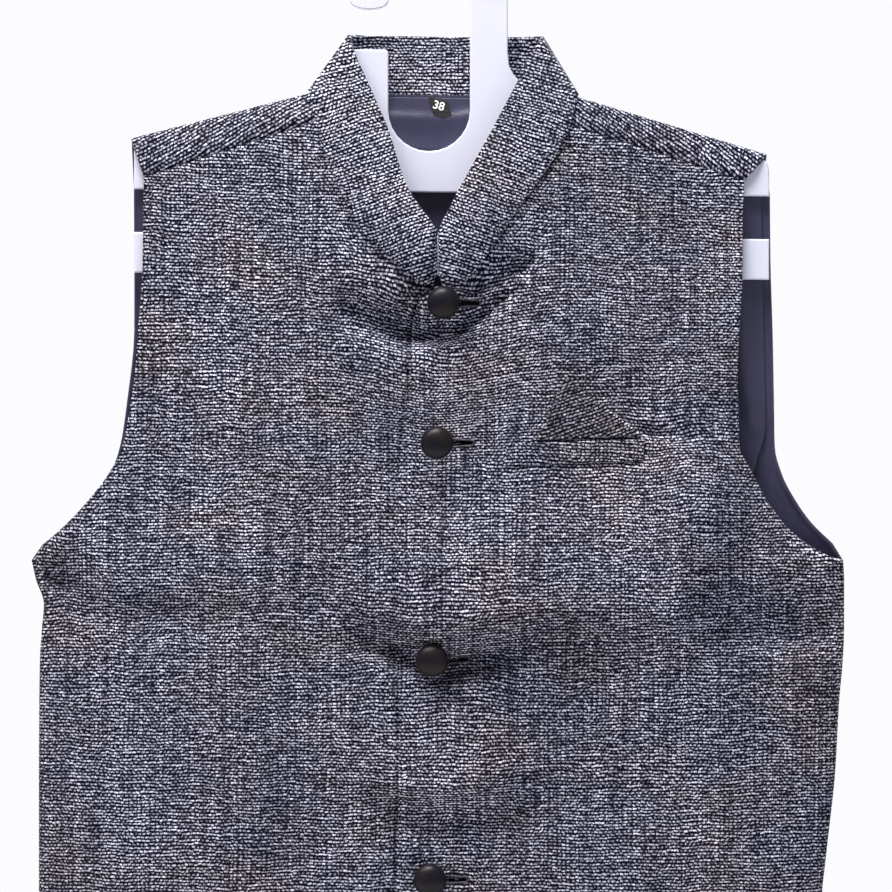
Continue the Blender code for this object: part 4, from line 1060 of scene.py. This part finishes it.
def backSheet(b):
    rows = backRowsOf(cut["rowCuts"])
    u = np.linspace(0, 1, b["columns"] + 1)
    body = backPoints(rows, u[None, :])
    layers, grains = [body], [layFlat(body, cut["centreX"])]
    ridgeZ = ridgeLine(u)[1]
    for k in range(b["wrap"] + 1):
        angle = 90.0 * k / b["wrap"]
        ring = bendPoints(u, angle)
        layers.append(ring[None])
        girth = cut["ridgeRadius"] * math.radians(angle - 90.0)
        grains.append(np.stack([ring[:, 0], ridgeZ + girth], 1)[None])
    for k in range(1, b["strip"] + 1):
        line = stripPoints(u, (k / b["strip"]) ** b["closer"])
        line[:, 1] += b["seamIn"] * ease(b["seamFrom"], 1.0, k / b["strip"])
        layers.append(line[None])
        # past the ridge line the flat cut goes on
        grains.append(overShoulder(line, u, np.hypot(ridgeZ - line[:, 2], line[:, 1]))[None])
    points = np.concatenate(layers, 0)
    grain = np.concatenate(grains, 0)
    # edges turned in along the armholes and the sides
    firsts, lasts = ([turnIn(points, which, cut["turn"] * turn, len(rows), b) for turn, _ in cut["turned"]]
                     for which in (0, -1))
    points = np.concatenate([np.stack(firsts[::-1], 1), points, np.stack(lasts, 1)], 1)
    out = [np.array([[[away, 0]]]) for _, away in cut["turned"]]
    grain = np.concatenate([grain[:, :1] - step for step in out[::-1]] + [grain]
                           + [grain[:, -1:] + step for step in out], 1)
    ridgeRow = len(rows) + b["wrap"]
    neckFrom = round(b["neckShare"] * b["columns"]) + len(out)
    neckTo = round((1 - b["neckShare"]) * b["columns"]) + len(out)

    def without(j, i):
        return j >= ridgeRow and neckFrom <= i < neckTo

    return points, grain, without


points, grain, without = backSheet(backCloth)
piece = clothSheet("back_cloth", points, grain, 1, [tweedCloth, satinCloth], cut["wall"], backCloth["rim"],
                   without, faced=(3, 3), rimFinish=1)
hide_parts("back")
declareCloth(piece, grain, without)
print("stage: back ready")


# ---- satin lining inside the back

lining = {
    "columns": 150, "inset": 2.2, "sag": 1.6, "rim": 0.2, "topRows": 32, "skipRows": 4,
    # where its side edges lie across the back: at the armholes, below them, at the top
    "edges": (0.014, 0.09, 0.008),
    "drawnIn": 2.0,                 # further forwards below the armholes
    "topDown": (1.0, 1.8),          # how far its top lies below the bend, and below the neck
    # how far forwards it keeps clear of the back's folds, how deep its own are, also near the top
    "clear": 2.0, "deepest": 3.5, "deepestTop": 3.0,
}
liningCreases = [
    ([(-64, -103), (-18, -107.5), (12, -108.5), (40, -104), (78, -98)], 3.4, 6, -1.15),
    ([(-60, -122), (-10, -131), (26, -130), (70, -118)], 6, 8, -1.0),
    ([(204, -250), (206, -270), (214, -292)], 5, 5, 1.2),
    ([(196, -215), (199, -260), (207, -310)], 6, 5, -1.0),
    ([(-178, -220), (-180, -270), (-184, -300)], 5, 5, 1.0),
    ([(-100, -200), (-90, -420), (-96, -700)], 12, 10, 0.9),
    ([(90, -220), (100, -430), (94, -720)], 12, 10, -0.9),
    ([(-150, -520), (0, -540), (150, -518)], 14, 12, -0.8),
]


def liningSheet(s):
    rows = backRowsOf(cut["rowCuts"])[s["skipRows"]:]
    heights = rows[:, 0:1]
    share = np.linspace(0, 1, s["columns"] + 1)
    atArmhole, below, atTop = s["edges"]
    low = ease(-300.0, -375.0, heights)
    u = mix(mix(atArmhole, below, low), mix(1 - atArmhole, 1 - below, low), share)
    sag = s["sag"] * np.sin(math.pi * share) ** 0.5 * ease(-110.0, -200.0, heights)
    body = backPoints(rows, u)
    body[..., 1] -= cut["wall"] + cut["gap"] + cut["liningGap"] + sag + s["drawnIn"] * low
    # it hangs freer than the back, so it takes folds of its own in place of those of the back
    x, z = body[..., 0], body[..., 2]
    plain = creases(backCreases, x, z) + ripple(x, z, "back")
    own = creases(liningCreases, x, z) + ripple(x, z, "lining")
    room = ease(-96, -104, z)
    body[..., 1] -= np.clip(np.maximum(plain - own, 0) * 0.6, 0, s["clear"]) * room
    body[..., 1] += np.clip(own, -s["deepest"], 0.0) * room
    u = mix(atTop, 1 - atTop, share)
    x, z = ridgeLine(u)
    neck = ease(backCloth["neckShare"] - 0.01, backCloth["neckShare"] + 0.05, np.minimum(u, 1 - u))
    y = mix(cut["ridgeRadius"], cut["neckY"], neck) - s["inset"]
    top = np.stack([x, y, z - mix(cut["ridgeRadius"] + s["topDown"][0], s["topDown"][1], neck)], 1)
    layers = [body]
    for k in range(1, s["topRows"] + 1):
        t = k / s["topRows"]
        line = body[-1] * (1 - t) + top * t
        own = np.clip(creases(liningCreases, line[:, 0], line[:, 2]), -s["deepestTop"], 0.0)
        line[:, 1] += own * ease(1.0, 0.8, t)
        layers.append(line[None])
    points = np.concatenate(layers, 0)
    return points, np.stack([points[..., 0], points[..., 2]], 2)


points, grain = liningSheet(lining)
piece = clothSheet("back_lining_cloth", points, grain, 1, [satinCloth], cut["liningWall"], lining["rim"])
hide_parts("back_lining")
declareCloth(piece, grain)
print("stage: lining ready")


# ---- the stand collar: one band round the neck, its ends meeting in front

collarBand = {
    "steps": 16, "turn": 17.0, "notch": 2.6, "rim": 0.8,
    # how far each part bulges, low in front and at the neck
    "crown": {"right": (5.4, 2.2), "left": (3.2, 0.4), "back": (0.5, 0.5)},
    "middle": (5.95, 5.3),          # x where its ends meet, at the seam and at the top
    "seamRows": 8,                  # rows of the fronts' table along its seam
    # where it crosses the strip in front of the ridge, from the seam up
    "falls": (0.82, 0.66, 0.52, 0.4, 0.3, 0.21, 0.13, 0.07, 0.03),
    "backRibs": 49,
}
# share of the way, x, z, y of the collar's upper edge
collarTop = {
    "right": [(0.00, 4.6, -178.4, -17.5), (0.24, -13.8, -152.5, -14.5), (0.52, -25.6, -116.2, -11.0),
              (0.76, -37.5, -88.0, -8.6), (0.92, -46.6, -66.5, -6.4), (1.00, -48.6, -56.4, 0.0)],
    "left": [(0.00, 6.0, -178.4, -19.0), (0.24, 19.4, -152.5, -15.5), (0.52, 37.6, -119.4, -11.5),
             (0.80, 56.2, -83.8, -8.6), (0.93, 65.6, -66.0, -6.2), (1.00, 69.6, -57.4, 0.0)],
    "back": [(0.00, -48.6, -56.4, 0.0), (0.10, -40.0, -55.7, 6.4), (0.30, -16.0, -55.6, 8.6),
             (0.50, 10.5, -56.0, 9.4), (0.70, 37.0, -56.2, 8.6), (0.90, 61.0, -56.4, 6.4),
             (1.00, 69.6, -57.4, 0.0)],
}


def neckSeam(c):
    cuts = 3
    necks = {"right": backCloth["neckShare"], "left": 1 - backCloth["neckShare"]}
    stretches = {}
    for side, u in necks.items():
        count = sum(row[-1] for row in frontRows[side][:c["seamRows"]]) * cuts
        line = frontPoints(side, frontRowsOf(side, cuts)[:count + 1], np.array([0.0]))[::-1, 0, :]
        seam = [stripPoints(u, fall) for fall in c["falls"]]
        stretches[side] = [Vector(p) for p in (*line, *seam, bendPoints(u, 90.0))]
    across = [Vector(bendPoints(u, 90.0)) for u in np.linspace(*necks.values(), c["backRibs"])]
    return [("right", stretches["right"]), ("back", across), ("left", stretches["left"][::-1])]


def collarRibs(c):
    # each rib's lower and upper end
    ribs = []
    for name, points in neckSeam(c):
        run = [0.0]
        for a, b in zip(points, points[1:]):
            run.append(run[-1] + (b - a).length)
        for low, done in zip(points, run):
            way = 1 - done / run[-1] if name == "left" else done / run[-1]
            top = Vector([float(column(collarTop[name], which, way)) for which in (1, 3, 2)])
            if not ribs or (low - ribs[-1][0]).length >= 0.05:
                ribs.append((low, top, name))
    return ribs


def collarSheet(c):
    ribs = collarRibs(c)
    last = len(ribs) - 1
    points = np.zeros((c["steps"] + 1, len(ribs), 3))
    grain = np.zeros((c["steps"] + 1, len(ribs), 2))
    necks = [Vector(bendPoints(u, 90.0)) for u in (backCloth["neckShare"], 1 - backCloth["neckShare"])]
    for i, (low, top, name) in enumerate(ribs):
        start = low + (top - low).normalized() * (cut["gap"] * mix(2.5, 1.3, float(ease(6, 12, i))))
        rear = name == "back" or abs(low.y) < 6.5 and low.z > -100
        outwards = Vector((0, 1 if rear and low.y >= 0 else -1, 0))
        swell = mix(*c["crown"][name], float(ease(-205.0, -105.0, low.z)))
        # no swell where the seam turns over the shoulders, or at the ends
        swell *= float(ease(3.0, 24.0, min((low - neck).length for neck in necks)))
        swell *= 0.0 if i < 2 or i > last - 2 else 1.0
        turn = math.radians(c["turn"]) * {"right": -1, "back": 0, "left": 1}[name]
        for j in range(c["steps"] + 1):
            t = j / c["steps"]
            spot = start.lerp(top, t) + outwards * swell * math.sin(math.pi * t ** 0.9)
            if i in (0, last):
                # the two ends almost touch, and part at the very bottom
                apart = cut["gap"] / 2 + c["notch"] * float(ease(0.3, 0.0, t))
                spot.x = mix(*c["middle"], t) + apart * (-1 if i == 0 else 1)
            points[j, i] = spot
            grain[j, i] = spun(spot.x, spot.z, turn)
    return points, grain


points, grain = collarSheet(collarBand)
# the collar wears the lighter copy of the tweed: painted light
piece = clothSheet("collar_band", points, grain, 1, [tweedCollarPaintedLight], cut["collarWall"], collarBand["rim"],
                   even=False)
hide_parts("collar")
declareBand(piece, points)
print("stage: collar ready")


# ---- breast pocket: its welt, and the folded point of the same cloth

# corners are upper inner, upper outer, lower inner and lower outer, and so are the heights
# that each stands off the front; the outer edge of the point rolls down over its last column
pocketWelt = {"corners": ((48.8, -312.5), (135.0, -309.6), (46.4, -326.0), (133.6, -323.2)),
              "raise": (1.3, 1.3, 0.0, 0.0), "roll": 0.0, "columns": 44, "rows": 8, "rim": 0.4, "tilt": 0.03}
pocketPoint = {"corners": ((84.2, -272.0), (86.6, -272.0), (68.2, -309.6), (133.4, -307.2)),
               "raise": (0.3, 1.6, 0.5, 1.8), "roll": 1.2, "columns": 36, "rows": 24, "rim": 0.6,
               "tilt": -0.35}


def patch(name, p, finishes):
    points = np.zeros((p["rows"] + 1, p["columns"] + 1, 3))
    grain = np.zeros((p["rows"] + 1, p["columns"] + 1, 2))
    between = (*zip(*p["corners"]), p["raise"])
    for j, v in enumerate(np.linspace(0, 1, p["rows"] + 1)):
        for i, u in enumerate(np.linspace(0, 1, p["columns"] + 1)):
            x, z, proud = (mix(mix(a, b, u), mix(c, d, u), v) for a, b, c, d in between)
            proud -= p["roll"] if i == p["columns"] else 0.0
            points[j, i] = onFront("left", x, z, cut["gap"] + cut["pocketWall"] + proud)
            grain[j, i] = spun(x, z, p["tilt"])
    piece = clothSheet(name, points, grain, -1, finishes, cut["pocketWall"], p["rim"],
                       faced=(0, len(finishes) - 1), rimFinish=len(finishes) - 1)
    return piece, points


piece, points = patch("pocket_welt_cloth", pocketWelt, [tweedCloth])
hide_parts("pocket_welt")
declareBand(piece, points)
# the point's cloth is the darkened copy, painted shade, and its last column and rim the much lighter one, a
# painted highlight on its rolled edge
piece, points = patch("pocket_point_cloth", pocketPoint, [tweedPocketPaintedShade, tweedFoldPaintedHighlight])
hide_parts("pocket_point")
declareBand(piece, points)
print("stage: pocket ready")


# ---- buttons: a dome turned on a lathe, with its rim, back and shank

button = {"radius": 10.2, "dome": 7.4, "rim": 1.2, "chamfer": 0.9, "shank": 2.2, "flare": 0.8,
          "shankClear": 0.7, "segments": 64, "domeSteps": 14, "domeEnd": 0.985}


def turnButton(number, spot, b):
    x, z, base = spot
    # the dome stands where its solid stands, the shank reaches from there to the under front
    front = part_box("button_%d" % number)[0][1] / mm
    reach = onFront("right", x, z).y - front - b["dome"] - base - b["shankClear"]
    radius, rim, chamfer, shank, flare = (b[key] for key in ("radius", "rim", "chamfer", "shank", "flare"))
    angles = [math.pi / 2 * k / b["domeSteps"] * b["domeEnd"] for k in range(b["domeSteps"] + 1)]
    profile = [(radius * math.sin(a), base + rim + (b["dome"] - rim) * math.cos(a)) for a in angles]
    profile += [(radius, base + rim * 0.98), (radius, base + chamfer),
                (radius - chamfer * 0.3, base + chamfer * 0.3), (radius - chamfer, base),
                (shank + flare, base), (shank + flare * 0.3, base - flare * 0.3),
                (shank, base - flare), (shank, -reach), (0.0, -reach)]
    bm = bmesh.new()
    corners = [bm.verts.new((r * mm, 0, h * mm)) for r, h in profile]
    edges = [bm.edges.new(pair) for pair in zip(corners, corners[1:])]
    bmesh.ops.spin(bm, geom=corners + edges, cent=(0, 0, 0), axis=(0, 0, 1), angle=2 * math.pi,
                   steps=b["segments"], use_merge=True)
    bmesh.ops.remove_doubles(bm, verts=bm.verts[:], dist=0.004 * mm)
    bmesh.ops.recalc_face_normals(bm, faces=bm.faces[:])
    bmesh.ops.rotate(bm, verts=bm.verts[:], cent=(0, 0, 0), matrix=Matrix.Rotation(math.pi / 2, 3, "X"))
    bmesh.ops.translate(bm, verts=bm.verts[:], vec=Vector((x, front + b["dome"] + base, z)) * mm)
    piece = finishPiece("domed_button_%d" % number, bm, [buttonResin])
    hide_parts("button_%d" % number)


for number, spot in enumerate(buttonSpots, 1):
    turnButton(number, spot, button)
print("stage: buttons ready")


# ---- size label: a tape tab under the back collar seam, with its size in figures

sizeTab = {"x": 5.6, "z": -95.4, "width": 12.4, "height": 12.6, "lean": 0.27, "rim": 0.15, "steps": 12,
           "figures": "38", "letter": 7.4, "letterPlace": (-0.9, 4.9), "bold": 0.12, "raise": 0.12}


def labelPlace(across, down, s, lift=0.0):
    x = s["x"] + across + s["lean"] * down
    z = s["z"] - down - s["lean"] * across
    y = cut["neckY"] - cut["wall"] - cut["gap"] - cut["liningGap"] - cut["liningWall"] - cut["gap"]
    return Vector((x, y - lift, z))


def sewLabel(s):
    shares = np.linspace(0, 1, s["steps"] + 1)
    points = np.array([[labelPlace((u - 0.5) * s["width"], v * s["height"], s) for u in shares]
                       for v in shares])
    # the CAD tab's outer face is the one towards the lining, so the wall goes forwards
    piece = clothSheet("size_tab", points, points[..., ::2], 1, [labelTape], cut["labelWall"], s["rim"])
    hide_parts("size_label")
    declareBand(piece, points)

    words = bpy.data.curves.new("figures", "FONT")
    words.body = s["figures"]
    words.size = s["letter"] * mm
    words.align_x = "CENTER"
    words.align_y = "CENTER"
    words.extrude = s["raise"] * mm
    words.offset = s["bold"] * mm
    holder = newObject("figures", words)
    mesh = meshOf(holder)
    bpy.data.objects.remove(holder)
    bm = bmesh.new()
    bm.from_mesh(mesh)
    bpy.data.meshes.remove(mesh)
    for angle, axis in ((math.pi / 2, "X"), (math.atan(s["lean"]), "Y")):
        bmesh.ops.rotate(bm, verts=bm.verts[:], cent=(0, 0, 0), matrix=Matrix.Rotation(angle, 3, axis))
    centre = labelPlace(*s["letterPlace"], s, cut["labelWall"] + s["raise"])
    bmesh.ops.translate(bm, verts=bm.verts[:], vec=centre * mm)
    figures = finishPiece("size_figures", bm, [labelFigure], smooth=False)


sewLabel(sizeTab)
print("stage: label ready")


# ---- the hanger keeps its own shape and takes its finish

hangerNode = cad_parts["hanger"]
hangerNode.data.materials.clear()
hangerNode.data.materials.append(hangerPlastic)
print("stage: hanger ready")

print("stage: size written")
